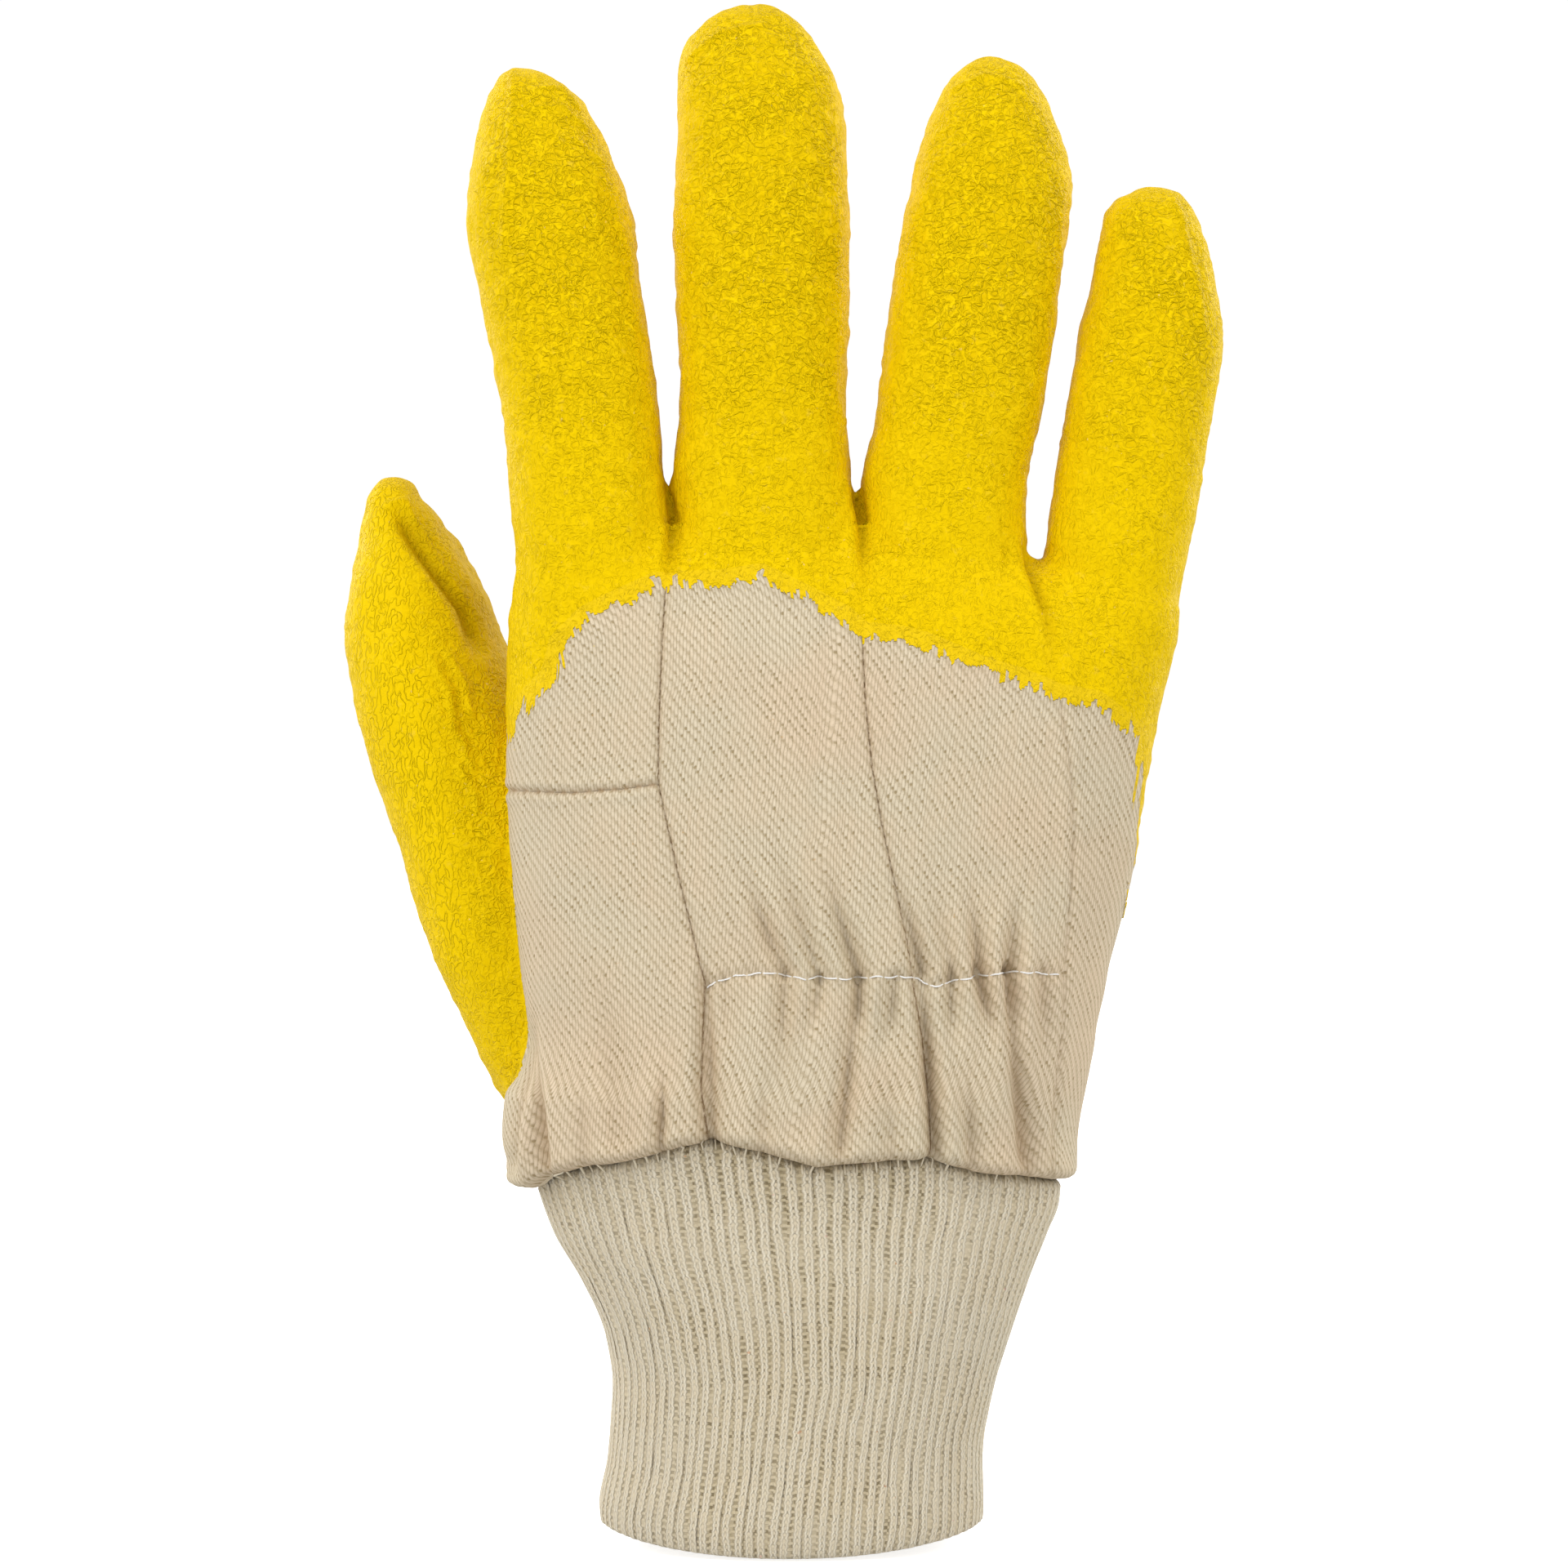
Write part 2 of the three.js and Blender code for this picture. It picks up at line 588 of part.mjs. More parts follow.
const fingerShapes = Object.values(FINGERS).map((table) => solidOf(fingerOuter(table)));
const handShell = fingerShapes
  .reduce((sum, finger) => sum.add(finger), solidOf(handOuter()))
  .subtract(hollow);
const backHalf = handShell.intersect(halfSpace(fingerMiddle, -1));
const palmHalf = handShell.intersect(halfSpace(fingerMiddle, 1));

// The back of the hand: a coated finger back and a cotton strip for each finger.
const aboveCoatingEdge = sideOfLine(backCoatingEdge, 1);
const cottonOnBack = sideOfLine(backCoatingEdge, -1).intersect(sideOfLine(backCuffSeam, 1));
Object.keys(FINGERS).forEach((name, i) => {
  const strip = backHalf.intersect(stripBetween(STRIP_SEAMS[i - 1], STRIP_SEAMS[i]));
  add(`${name}_finger_back`, strip.intersect(aboveCoatingEdge), coated);
  const cloth = strip.intersect(cottonOnBack);
  if (name !== "index") {
    add(`${name}_back_panel`, cloth, cotton);
    return;
  }
  const knuckleSeam = [...KNUCKLE_SEAM];
  add("index_knuckle_panel", cloth.intersect(sideOfLine(knuckleSeam, 1)), cotton);
  add("index_back_panel", cloth.intersect(sideOfLine(knuckleSeam, -1)), cotton);
});

// The palm with the fronts of the four fingers, and the cotton left bare above the cuff.
add("coated_palm", palmHalf.intersect(sideOfLine(palmCoatingEdge, 1)), coated);
const heel = palmHalf.intersect(sideOfLine(palmCoatingEdge, -1)).intersect(sideOfLine(palmCuffSeam, 1));
add("palm_heel", heel, cotton);

// The thumb, set against the side of the hand and sewn from two halves.
const thumbMiddle = (z) => valueAt(THUMB, "z", z, "middle");
const thumbShell = solidOf(fingerOuter(THUMB)).subtract(solidOf(handEnvelope(SEAM_GAP))).subtract(hollow);
add("thumb_back", thumbShell.intersect(halfSpace(thumbMiddle, -1)), coated);
add("thumb_front", thumbShell.intersect(halfSpace(thumbMiddle, 1)), coated);

add("knit_cuff", cuffSolid(), knit);

export default glove;
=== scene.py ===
import math

import bpy
import numpy as np
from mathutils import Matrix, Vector
from mathutils.bvhtree import BVHTree


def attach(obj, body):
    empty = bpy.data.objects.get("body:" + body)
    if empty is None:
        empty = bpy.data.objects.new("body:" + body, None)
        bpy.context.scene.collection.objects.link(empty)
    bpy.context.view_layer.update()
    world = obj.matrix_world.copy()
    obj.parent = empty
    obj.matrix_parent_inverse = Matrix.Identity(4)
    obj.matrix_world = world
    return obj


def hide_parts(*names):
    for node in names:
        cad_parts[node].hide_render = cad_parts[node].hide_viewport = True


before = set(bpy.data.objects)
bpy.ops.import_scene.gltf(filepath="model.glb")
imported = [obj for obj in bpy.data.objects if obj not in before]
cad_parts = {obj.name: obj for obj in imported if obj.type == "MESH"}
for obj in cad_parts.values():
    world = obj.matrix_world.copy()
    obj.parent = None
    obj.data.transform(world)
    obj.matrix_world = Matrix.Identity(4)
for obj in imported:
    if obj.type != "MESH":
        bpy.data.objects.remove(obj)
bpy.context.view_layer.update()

bl_info = {
    "name": "Coated Work Glove",
    "version": (1, 0, 0),
    "blender": (4, 5, 0),
    "location": "View3D > Sidebar > Glove",
    "description": "Builds a cotton work glove with a crinkled rubber coating and a knit cuff",
    "category": "Object",
}

# All tables are in millimetres. The thumb is on the -X side, the back of the hand faces -Y and the fingers
# point along +Z.

# Sections of the hand: z, left, right, back of the hand, palm
HAND = np.array([
    (55.0, -45.2, 46.2, -24.6, 25.8), (60.0, -47.8, 47.0, -25.4, 26.6), (67.0, -49.0, 48.2, -26.2, 28.0),
    (75.0, -48.4, 49.4, -26.2, 28.0), (80.0, -46.2, 50.5, -25.6, 27.0), (86.0, -44.8, 51.5, -25.0, 26.0),
    (96.0, -45.8, 53.4, -24.2, 25.0), (110.0, -47.3, 57.0, -23.0, 23.6), (127.0, -48.4, 59.8, -21.2, 21.6),
    (143.0, -48.4, 62.4, -19.0, 18.6), (152.0, -48.2, 63.2, -16.9, 16.6), (158.0, -46.8, 62.6, -14.6, 14.3),
    (162.0, -45.0, 56.0, -12.2, 12.2), (165.0, -42.5, 44.0, -9.8, 10.0), (168.5, -37.0, 33.0, -6.4, 7.0),
    (172.0, -29.0, 22.0, -3.6, 4.2),
])

# Sections of each finger: z, left, right, thickness
FINGERS = {
    "index": np.array([
        (150.0, -45.0, -22.0, 22.0), (165.0, -47.0, -20.6, 24.0), (172.0, -47.6, -20.9, 23.6),
        (178.0, -48.0, -21.7, 23.0), (190.0, -49.2, -22.5, 22.0), (206.0, -52.0, -24.6, 22.0),
        (223.0, -55.4, -26.9, 22.5), (232.0, -55.3, -29.5, 21.5), (240.0, -53.5, -33.0, 19.0),
        (245.0, -52.2, -35.8, 16.0), (248.7, -50.9, -40.0, 11.0), (250.7, -48.8, -44.0, 4.0),
    ]),
    "middle": np.array([
        (150.0, -18.5, 10.5, 22.0), (165.0, -20.6, 11.9, 24.5), (172.0, -20.5, 11.5, 24.0),
        (180.0, -20.4, 10.1, 23.5),
        (190.0, -19.1, 9.3, 22.5), (207.0, -19.5, 9.6, 22.0), (223.0, -20.2, 9.7, 22.0),
        (238.0, -19.6, 9.3, 21.5), (249.0, -19.6, 7.3, 18.5), (255.0, -18.6, 4.0, 15.0),
        (259.6, -14.7, 0.3, 9.5), (262.2, -9.0, -4.0, 3.0),
    ]),
    "ring": np.array([
        (148.0, 14.0, 43.6, 22.0), (157.0, 12.8, 42.2, 23.2), (165.0, 12.2, 40.0, 24.0),
        (178.0, 11.7, 39.9, 23.0),
        (190.0, 14.0, 42.3, 22.0), (206.0, 16.3, 44.6, 21.5), (222.0, 18.6, 47.1, 21.5),
        (232.0, 20.6, 47.8, 21.0), (240.0, 22.9, 45.9, 18.5), (246.0, 25.2, 43.2, 15.0),
        (250.2, 28.0, 40.2, 10.0), (252.7, 31.8, 36.2, 3.0),
    ]),
    "little": np.array([
        (143.0, 45.0, 60.5, 19.0), (156.0, 42.6, 65.0, 21.0), (166.0, 42.6, 66.9, 21.5),
        (178.0, 44.4, 69.2, 20.5), (192.0, 46.5, 71.6, 20.0), (204.0, 48.8, 73.2, 19.5),
        (214.0, 50.9, 72.0, 18.5), (221.0, 52.5, 70.4, 16.0), (226.4, 54.2, 68.0, 12.0),
        (229.7, 59.0, 64.0, 3.5),
    ]),
}

# Sections of the thumb: z, left, right, thickness, depth of its centre line
THUMB = np.array([
    (68.0, -44.0, -26.0, 12.0, 12.0), (76.0, -51.2, -23.0, 19.0, 12.2), (85.0, -55.5, -22.0, 24.0, 12.8),
    (101.0, -63.0, -26.0, 26.5, 14.2), (118.0, -68.5, -32.0, 26.5, 15.8), (135.0, -74.0, -41.5, 26.0, 17.8),
    (146.0, -76.8, -47.0, 25.5, 19.2), (154.0, -77.9, -50.4, 24.5, 20.3), (162.0, -77.3, -53.2, 22.5, 21.3),
    (169.7, -75.6, -57.6, 18.5, 22.4), (175.0, -74.7, -62.0, 14.5, 23.2), (179.4, -73.7, -65.6, 10.0, 23.8),
    (181.6, -71.2, -67.6, 3.5, 24.0),
])

# Sections of the cuff: z, left, right, back of the hand, palm
CUFF = np.array([
    (0.0, -32.0, 32.0, -21.0, 21.0), (6.0, -32.9, 32.8, -21.4, 21.4), (15.0, -31.4, 32.6, -20.8, 21.0),
    (27.0, -30.8, 34.7, -20.4, 21.0), (35.0, -32.0, 37.2, -20.8, 21.4), (44.0, -35.8, 40.3, -21.6, 22.2),
    (52.0, -40.4, 43.4, -22.2, 23.0), (58.0, -42.8, 45.5, -22.6, 23.6), (66.0, -45.0, 46.2, -23.2, 24.8),
    (74.0, -45.4, 46.2, -23.4, 25.2),
])

# Lines across the glove: x, z
CUFF_SEAM_BACK = np.array([
    (-60.0, 58.2), (-45.0, 60.0), (-42.4, 62.4), (-36.3, 64.4), (-28.3, 65.8), (-18.9, 68.5), (-13.5, 69.6),
    (-5.4, 67.8), (4.0, 65.1), (12.1, 65.8), (22.8, 66.5), (30.9, 63.8), (42.3, 62.2), (60.0, 58.2),
])
CUFF_SEAM_PALM = np.array([(-60.0, 58.2), (-40.0, 62.5), (0.0, 65.0), (40.0, 62.5), (60.0, 58.2)])
COATING_EDGE_BACK = np.array([
    (-75.0, 128.0), (-60.0, 131.0), (-47.2, 135.7), (-44.8, 139.1), (-42.7, 142.5), (-39.3, 145.9),
    (-38.0, 151.3), (-33.9, 155.4), (-29.8, 157.4), (-23.1, 160.5), (-19.0, 161.0), (-12.2, 161.1),
    (-5.5, 162.2), (-1.4, 160.1), (4.0, 157.4), (8.1, 155.1), (11.5, 152.2), (17.6, 151.8), (21.7, 150.7),
    (31.1, 146.6), (37.9, 144.6), (44.0, 142.0), (50.1, 141.0), (53.5, 138.5), (57.2, 135.5), (57.6, 126.0),
    (56.6, 114.0), (90.0, 112.0),
])
COATING_EDGE_PALM = np.array([
    (-90.0, 73.0), (-44.0, 75.0), (0.0, 78.0), (28.0, 82.0), (44.0, 94.0), (55.0, 111.0), (90.0, 115.0),
])

# Seams between the four strips of the back: z, x, and the height above which two fingers part
STRIP_SEAMS = [
    (np.array([
        (40.0, -14.0), (70.3, -14.1), (78.4, -15.2), (87.8, -14.9), (95.9, -14.6), (102.6, -16.2),
        (113.4, -18.9), (122.9, -21.0), (128.3, -22.2), (136.4, -22.2), (145.8, -21.9), (158.0, -21.4),
        (163.4, -21.0), (171.5, -20.4), (181.0, -21.2), (280.0, -21.2),
    ]), 178.0),
    (np.array([
        (40.0, 23.1), (66.2, 22.9), (68.9, 23.3), (77.0, 22.9), (86.5, 21.6), (93.9, 20.2), (102.6, 18.9),
        (112.1, 16.8), (121.5, 14.8), (131.0, 13.2), (141.8, 12.1), (152.6, 11.6), (163.4, 11.8),
        (170.1, 11.4), (177.0, 11.1), (280.0, 11.1),
    ]), 177.0),
    (np.array([
        (40.0, 43.0), (67.0, 43.2), (78.1, 44.1), (87.6, 44.8), (95.7, 45.0), (103.9, 45.8), (112.0, 46.4),
        (120.1, 46.8), (128.3, 46.4), (136.4, 45.4), (143.2, 44.3), (150.0, 43.4), (158.1, 41.4),
        (164.9, 40.6), (178.0, 42.3), (192.0, 44.4), (212.0, 48.0), (226.0, 51.0), (280.0, 51.0),
    ]), 166.0),
]

# The seam across the index strip, and the elastic row: x, z
KNUCKLE_SEAM = np.array([
    (-60.0, 127.2), (-47.3, 127.2), (-36.7, 126.9), (-28.5, 127.5), (-22.3, 128.3), (0.0, 129.5),
])
ELASTIC_ROW = np.array([
    (-14.4, 94.6), (-12.5, 95.7), (-9.5, 96.7), (-4.1, 97.3), (-0.7, 96.7), (2.0, 96.2), (4.1, 96.6),
    (8.2, 96.2), (10.9, 96.4), (14.4, 96.6), (19.4, 96.6), (20.6, 96.1), (23.8, 94.8), (25.1, 95.5),
    (27.1, 95.9), (29.8, 96.5), (36.0, 97.2), (39.2, 97.2), (44.2, 96.6),
])

# Valleys pulled into the cotton: x and z of the upper end, x and z of the lower end, depth, width, darkness
# of their painted shade
FOLDS = [
    (-43.3, 82.6, -41.4, 64.0, 1.8, 1.2, 0.8), (-44.1, 86.0, -47.7, 64.0, 1.5, 1.2, 0.5),
    (-21.4, 79.0, -21.9, 66.5, 1.7, 1.0, 0.7), (-8.4, 114.0, -1.0, 97.4, 1.7, 1.5, 0.4),
    (-3.4, 118.0, 4.3, 97.0, 1.2, 1.4, 0.3), (5.4, 114.0, 11.0, 96.8, 2.0, 1.4, 0.6),
    (11.0, 96.6, 11.2, 86.0, 1.9, 1.3, 0.6), (10.2, 90.0, 7.6, 67.0, 1.7, 1.5, 0.45),
    (29.6, 110.0, 31.2, 97.3, 1.5, 1.3, 0.4), (30.8, 98.0, 34.0, 84.5, 1.8, 1.4, 0.5),
    (37.4, 109.0, 35.9, 97.6, 1.7, 1.3, 0.5), (35.7, 98.0, 36.8, 85.0, 2.0, 1.3, 0.7),
    (36.3, 89.0, 39.6, 64.0, 2.0, 1.5, 0.8), (-31.0, 91.0, -28.9, 68.0, 1.3, 2.8, 0.1),
    (-1.3, 96.5, -1.6, 74.0, 1.5, 1.9, 0.25), (4.6, 96.5, 2.0, 83.0, 1.2, 1.4, 0.2),
    (26.4, 98.0, 26.4, 84.0, 1.6, 1.4, 0.35), (17.0, 97.0, 15.2, 84.0, 1.3, 1.5, 0.3),
    (-11.4, 96.5, -10.0, 80.0, 1.0, 1.5, 0.2), (41.4, 98.0, 41.8, 82.0, 1.1, 1.3, 0.3),
    (29.0, 78.0, 29.6, 64.0, 1.3, 1.4, 0.3), (16.0, 77.0, 16.6, 65.0, 0.9, 1.5, 0.2),
    (-35.0, 78.0, -34.6, 64.0, 1.0, 1.6, 0.2), (-4.6, 78.0, -4.8, 66.0, 1.0, 1.4, 0.2),
    (23.0, 112.0, 26.6, 97.0, 1.0, 1.5, 0.2), (17.4, 113.0, 21.4, 97.6, 1.7, 1.2, 0.6),
    (21.6, 97.0, 23.9, 66.0, 1.5, 1.2, 0.5), (-13.8, 94.0, -12.9, 67.0, 1.9, 1.5, 0.6),
]

# Creases where two fingers part, with painted shade in them. The left one lies over the right one, which is
# pressed in beside it:
# z and x from the lower end up, depth, width
WEBS = [
    (np.array([(158.0, -21.2), (163.0, -20.9), (169.0, -20.6), (174.0, -20.6), (178.5, -21.2)]), 1.1, 3.4),
    (np.array([(158.0, 11.9), (164.0, 11.9), (170.0, 11.6), (174.0, 11.2), (178.0, 10.6)]), 0.9, 2.2),
    (np.array([
        (146.0, 44.0), (153.0, 42.9), (157.0, 42.1), (160.2, 40.9), (164.5, 39.6), (168.0, 39.3),
    ]), 0.9, 2.4),
]

# Raised creases in the rubber on the back of the fingers and thumb: points x, z; height; width
CREASES = [
    ([(-47.6, 250.0), (-47.2, 244.0), (-48.0, 232.0), (-48.6, 219.0)], 0.55, 0.8),
    ([(64.6, 227.5), (65.8, 224.0), (67.6, 215.0), (69.0, 205.8)], 0.5, 0.8),
    ([(-43.0, 246.4), (-39.5, 246.6), (-36.6, 243.6)], 0.45, 0.55),
    ([(-43.5, 243.0), (-39.0, 243.2), (-34.6, 239.6)], 0.4, 0.5),
    ([(-41.0, 238.6), (-36.0, 237.0), (-31.8, 233.4)], 0.22, 0.5),
    ([(-12.0, 213.0), (-9.5, 217.5), (-7.0, 213.0)], 0.22, 0.5),
    ([(-14.5, 209.0), (-13.4, 204.0), (-12.9, 200.0)], 0.22, 0.5),
    ([(-9.2, 206.0), (-7.6, 202.0), (-6.4, 205.5)], 0.22, 0.5),
    ([(-1.6, 212.0), (1.2, 207.5), (2.2, 202.5)], 0.18, 0.5),
    ([(-18.0, 252.0), (-12.0, 256.6), (-5.0, 257.6)], 0.45, 0.6),
    ([(27.0, 246.6), (33.0, 249.0), (39.0, 247.0)], 0.4, 0.6),
    ([(-70.2, 176.8), (-67.3, 177.6), (-65.2, 174.0)], 0.45, 0.6),
    ([(-62.0, 150.0), (-58.6, 144.0), (-57.8, 138.0)], 0.55, 0.7),
    ([(-58.8, 150.6), (-55.8, 145.0), (-55.0, 140.5)], 0.55, 0.65),
    ([(-60.5, 140.0), (-56.5, 136.0), (-54.6, 131.0)], 0.5, 0.7),
    ([(-56.8, 131.5), (-54.2, 127.0), (-53.6, 123.5)], 0.45, 0.6),
]

# How far the weave of each cotton piece is turned, in degrees
GRAIN = {
    "index_knuckle_panel": 0.0, "index_back_panel": -3.0, "middle_back_panel": 1.0, "ring_back_panel": 3.0,
    "little_back_panel": 2.0, "palm_heel": 0.0,
}
COTTON_PIECES = tuple(GRAIN)
COATED_PIECES = (
    "coated_palm", "index_finger_back", "middle_finger_back", "ring_finger_back", "little_finger_back",
    "thumb_back", "thumb_front",
)

# The thumb's deep fold (z, x) and the line to whose right its rubber is wrinkled (z, x)
THUMB_FOLD = np.array([(142.0, -53.0), (150.0, -53.6), (158.5, -56.4), (170.6, -65.6), (178.0, -69.4)])
THUMB_FLANK = np.array([(100.0, -56.0), (150.0, -64.0), (182.0, -70.0)])

# Squareness of the sections: 2 is an ellipse
HAND_SQUARENESS = 2.6
FINGER_SQUARENESS = 2.2
CUFF_SQUARENESS = 2.3

SMEAR = 3.0  # how far the cotton runs up under the rubber above the edge line
FAR = 9.0  # stands for the distance to a seam where none is near
ON_THUMB = 20.0  # stands for the distance to the coating's edge on the thumb, which is coated all over
RIBS = 88
COLUMNS_PER_RIB = 8
CUFF_HEIGHT = 74.0  # top of the knit inside the cotton
KNIT_TUCK = 2.5  # how far the knit runs up behind the hem
HEM_LEVEL = 62  # height of the section of the cuff along which its seam with the cotton is looked up
STEPS_ROUND = 256  # steps round a section when its length is measured
CUFF_STEPS_ROUND = 1440
LEVEL_STEP = 5.0  # height between the sections of the hand whose length is measured
FOLD_ENDS_AT_ROW = 90.0  # folds whose lower end is above this height end at the elastic row
FOLD_ENDS_AT_HEM = 70.0  # folds whose lower end is below this height run into the hem
LINING_CELL = 2.6
SKIN_BOX = ((-83.0, -31.0, 50.0), (78.0, 38.0, 267.0))  # the space in which the skin is looked for
THREADS_BELOW = 185.0  # no thread lies higher than this
ROWS_AT_HEM = 24  # rows at the top of the cuff that threads can lie on
THREAD_SIDES = 6

# The stage: floor and dome in millimetres, the height that the lights aim at in metres
FLOOR_HALF = 6000.0
FLOOR_HEIGHT = -0.4
DOME_RADIUS = 5000.0
GLOVE_MIDDLE = 0.13
WHITE = (1.0, 1.0, 1.0, 1.0)
BLACK = (0.0, 0.0, 0.0, 1.0)

# Colours of the rubber, the cotton and the knit that make up their texture, some of them painted light and
# shade
FLUFF = (0.80, 0.54, 0.22)
# Painted shade for the rubber's deepest creases and folds
RUBBER_SHADE = (0.30, 0.17, 0.0)
COTTON_WARM = (0.695, 0.56, 0.40)
COTTON_COOL = (0.635, 0.56, 0.42)
# Partly a paler tone of some yarns, partly a painted highlight on the crowns of the floats
COTTON_PALE = (0.76, 0.67, 0.515)
COTTON_PINK = (0.72, 0.55, 0.39)
COTTON_DAMP = (0.36, 0.27, 0.15)
# Painted shade for the cotton's seams, folds, creases and hem
COTTON_SHADE = (0.33, 0.22, 0.12)
SEED_BROWN = (0.50, 0.30, 0.12)
SOAKED_YELLOW = (0.80, 0.55, 0.02)
SEAM_HOLE = (0.15, 0.085, 0.035)
KNIT_WARM = (0.68, 0.58, 0.41)
# Painted highlight on the raised strands of the knit
KNIT_STRAND_HIGHLIGHT = (0.80, 0.74, 0.60)
# Painted shade in the furrows between the knit's ribs
KNIT_FURROW_SHADE = (0.47, 0.385, 0.235)
KNIT_RUST = (0.58, 0.25, 0.10)
KNIT_ROSE = (0.70, 0.38, 0.33)
# Painted shade on the knit tucked behind the hem and just below it
KNIT_SHADE = (0.13, 0.10, 0.055)


class GloveShape(bpy.types.PropertyGroup):
    """Sizes of the sewn and coated body."""

    cell: bpy.props.FloatProperty(
        name="Surface Cell", description="Size of the skin's cells before they are refined",
        default=0.00113, min=0.0006, max=0.004, unit="LENGTH")
    wall: bpy.props.FloatProperty(
        name="Wall", description="Thickness of the cloth and its coating", default=0.0017, unit="LENGTH")
    seam_depth: bpy.props.FloatProperty(
        name="Seam Depth", description="Depth of the groove along a sewn seam", default=0.0005, unit="LENGTH")
    hem_roll: bpy.props.FloatProperty(
        name="Hem Roll", description="How far the cotton turns in where it meets the cuff",
        default=0.0029, unit="LENGTH")
    rib_height: bpy.props.FloatProperty(
        name="Rib Height", description="Height of the ribs of the cuff", default=0.00031, unit="LENGTH")
    thread: bpy.props.FloatProperty(
        name="Thread", description="Radius of the sewing thread", default=0.00014, unit="LENGTH")


class GloveFinish(bpy.types.PropertyGroup):
    """Colours and weave sizes."""

    latex: bpy.props.FloatVectorProperty(
        name="Rubber", description="Colour of the rubber coating", subtype="COLOR", size=3,
        default=(0.835, 0.575, 0.001), min=0.0, max=1.0)
    # Painted shade: the rubber's colour darkened between its wrinkles and in its hollows
    latex_hollow_shade: bpy.props.FloatVectorProperty(
        name="Rubber Hollow Shade", description="Colour of the rubber between its wrinkles",
        subtype="COLOR", size=3, default=(0.62, 0.395, 0.0), min=0.0, max=1.0)
    latex_pale: bpy.props.FloatVectorProperty(
        name="Rubber on Fluff", description="Colour of the rubber where cotton fluff shows",
        subtype="COLOR", size=3, default=(0.80, 0.54, 0.06), min=0.0, max=1.0)
    cotton: bpy.props.FloatVectorProperty(
        name="Cotton", description="Colour of the cotton twill", subtype="COLOR", size=3,
        default=(0.66, 0.56, 0.405), min=0.0, max=1.0)
    # Painted shade in the gaps between the cotton yarns and in the hollows of the lining's nap
    cotton_hollow_shade: bpy.props.FloatVectorProperty(
        name="Cotton Hollow Shade", description="Colour of the gaps between the cotton yarns",
        subtype="COLOR", size=3, default=(0.30, 0.225, 0.115), min=0.0, max=1.0)
    knit: bpy.props.FloatVectorProperty(
        name="Knit", description="Colour of the knit cuff", subtype="COLOR", size=3,
        default=(0.67, 0.58, 0.42), min=0.0, max=1.0)
    # Painted shade in the pits of the knit's stitches, on and between its ribs
    knit_pit_shade: bpy.props.FloatVectorProperty(
        name="Knit Pit Shade", description="Colour between the ribs of the cuff", subtype="COLOR", size=3,
        default=(0.20, 0.155, 0.08), min=0.0, max=1.0)
    yarn: bpy.props.FloatProperty(
        name="Yarn", description="Distance between two yarns of the twill", default=0.00055, unit="LENGTH")
    pick: bpy.props.FloatProperty(
        name="Float", description="Length of one float of the twill and the gap after it",
        default=0.00194, unit="LENGTH")
    stitch: bpy.props.FloatProperty(
        name="Stitch", description="Height of one stitch of the knit", default=0.00105, unit="LENGTH")


class GloveStage(bpy.types.PropertyGroup):
    """Camera, floor and lights."""

    distance: bpy.props.FloatProperty(
        name="Camera Distance", description="From the camera to the middle of the glove",
        default=0.750, unit="LENGTH")
    side: bpy.props.FloatProperty(
        name="Camera Side", description="How far the camera stands to the side of the cuff's middle",
        default=-0.001387, unit="LENGTH")
    height: bpy.props.FloatProperty(
        name="Camera Height", description="Height of the camera above the rim of the cuff",
        default=0.1283, unit="LENGTH")
    span: bpy.props.FloatProperty(
        name="View Span", description="Width of what the camera sees at the glove",
        default=0.26625, unit="LENGTH")
    side_light: bpy.props.FloatProperty(
        name="Side Lights", description="Usual power of one of the side lights", default=4.15, unit="POWER")
    sky: bpy.props.FloatProperty(
        name="Surroundings", description="Brightness of the white surroundings",
        default=0.80, min=0.0, subtype="FACTOR")


def along(keys, values, at):
    """Values between the rows of a table, by a cubic whose slopes never overshoot the rows."""
    slopes = np.diff(values) / np.diff(keys)
    tangents = np.empty_like(values)
    tangents[0], tangents[-1] = slopes[0], slopes[-1]
    before, after = slopes[:-1], slopes[1:]
    total = np.where(before * after > 0, before + after, 1.0)
    tangents[1:-1] = np.where(before * after > 0, 2 * before * after / total, 0.0)
    i = np.clip(np.searchsorted(keys, at) - 1, 0, len(keys) - 2)
    span = keys[i + 1] - keys[i]
    t = np.clip((at - keys[i]) / span, 0, 1)
    start = values[i] * (1 + 2 * t) * (1 - t) ** 2 + tangents[i] * span * t * (1 - t) ** 2
    end = values[i + 1] * t * t * (3 - 2 * t) - tangents[i + 1] * span * t * t * (1 - t)
    return start + end


def ease(value, low=0.0, high=1.0):
    """Nought below low, one above high, and a smooth step between."""
    t = np.clip((value - low) / (high - low), 0, 1)
    return t * t * (3 - 2 * t)


def bell(value, width):
    """One at nought, fading away on both sides over a width."""
    return np.exp(-((value / width) ** 2))


def merge(a, b, reach):
    """Union of two distances, rounded over reach."""
    h = np.maximum(reach - np.abs(a - b), 0)
    return np.minimum(a, b) - h * h / (4 * reach)


def finger_middle(z):
    """Depth of the fingers' centre lines, which lean towards the palm."""
    return 9.0 * (np.maximum(z - 160.0, 0) / 100.0) ** 1.5


def lattice_noise(points, size, seed=0):
    """Smooth noise between -1 and 1 with hollows and bumps of the given size."""
    q = points / size + (seed * 7.31, seed * 3.17, seed * 5.73)
    base = np.floor(q).astype(np.int64)
    t = q - base
    t = t * t * (3 - 2 * t)
    total = np.zeros(len(q))
    for corner in range(8):
        step = np.array([corner & 1, corner >> 1 & 1, corner >> 2])
        cell = base + step
        code = cell[:, 0] * 73856093 ^ cell[:, 1] * 19349663 ^ cell[:, 2] * 83492791 ^ seed * 2654435
        code = (code & 0x7FFFFFFF) * 1103515245 + 12345 & 0x7FFFFFFF
        weight = np.prod(np.where(step, t, 1 - t), axis=1)
        total += weight * ((code >> 8 & 0xFFFF) / 32767.5 - 1)
    return total


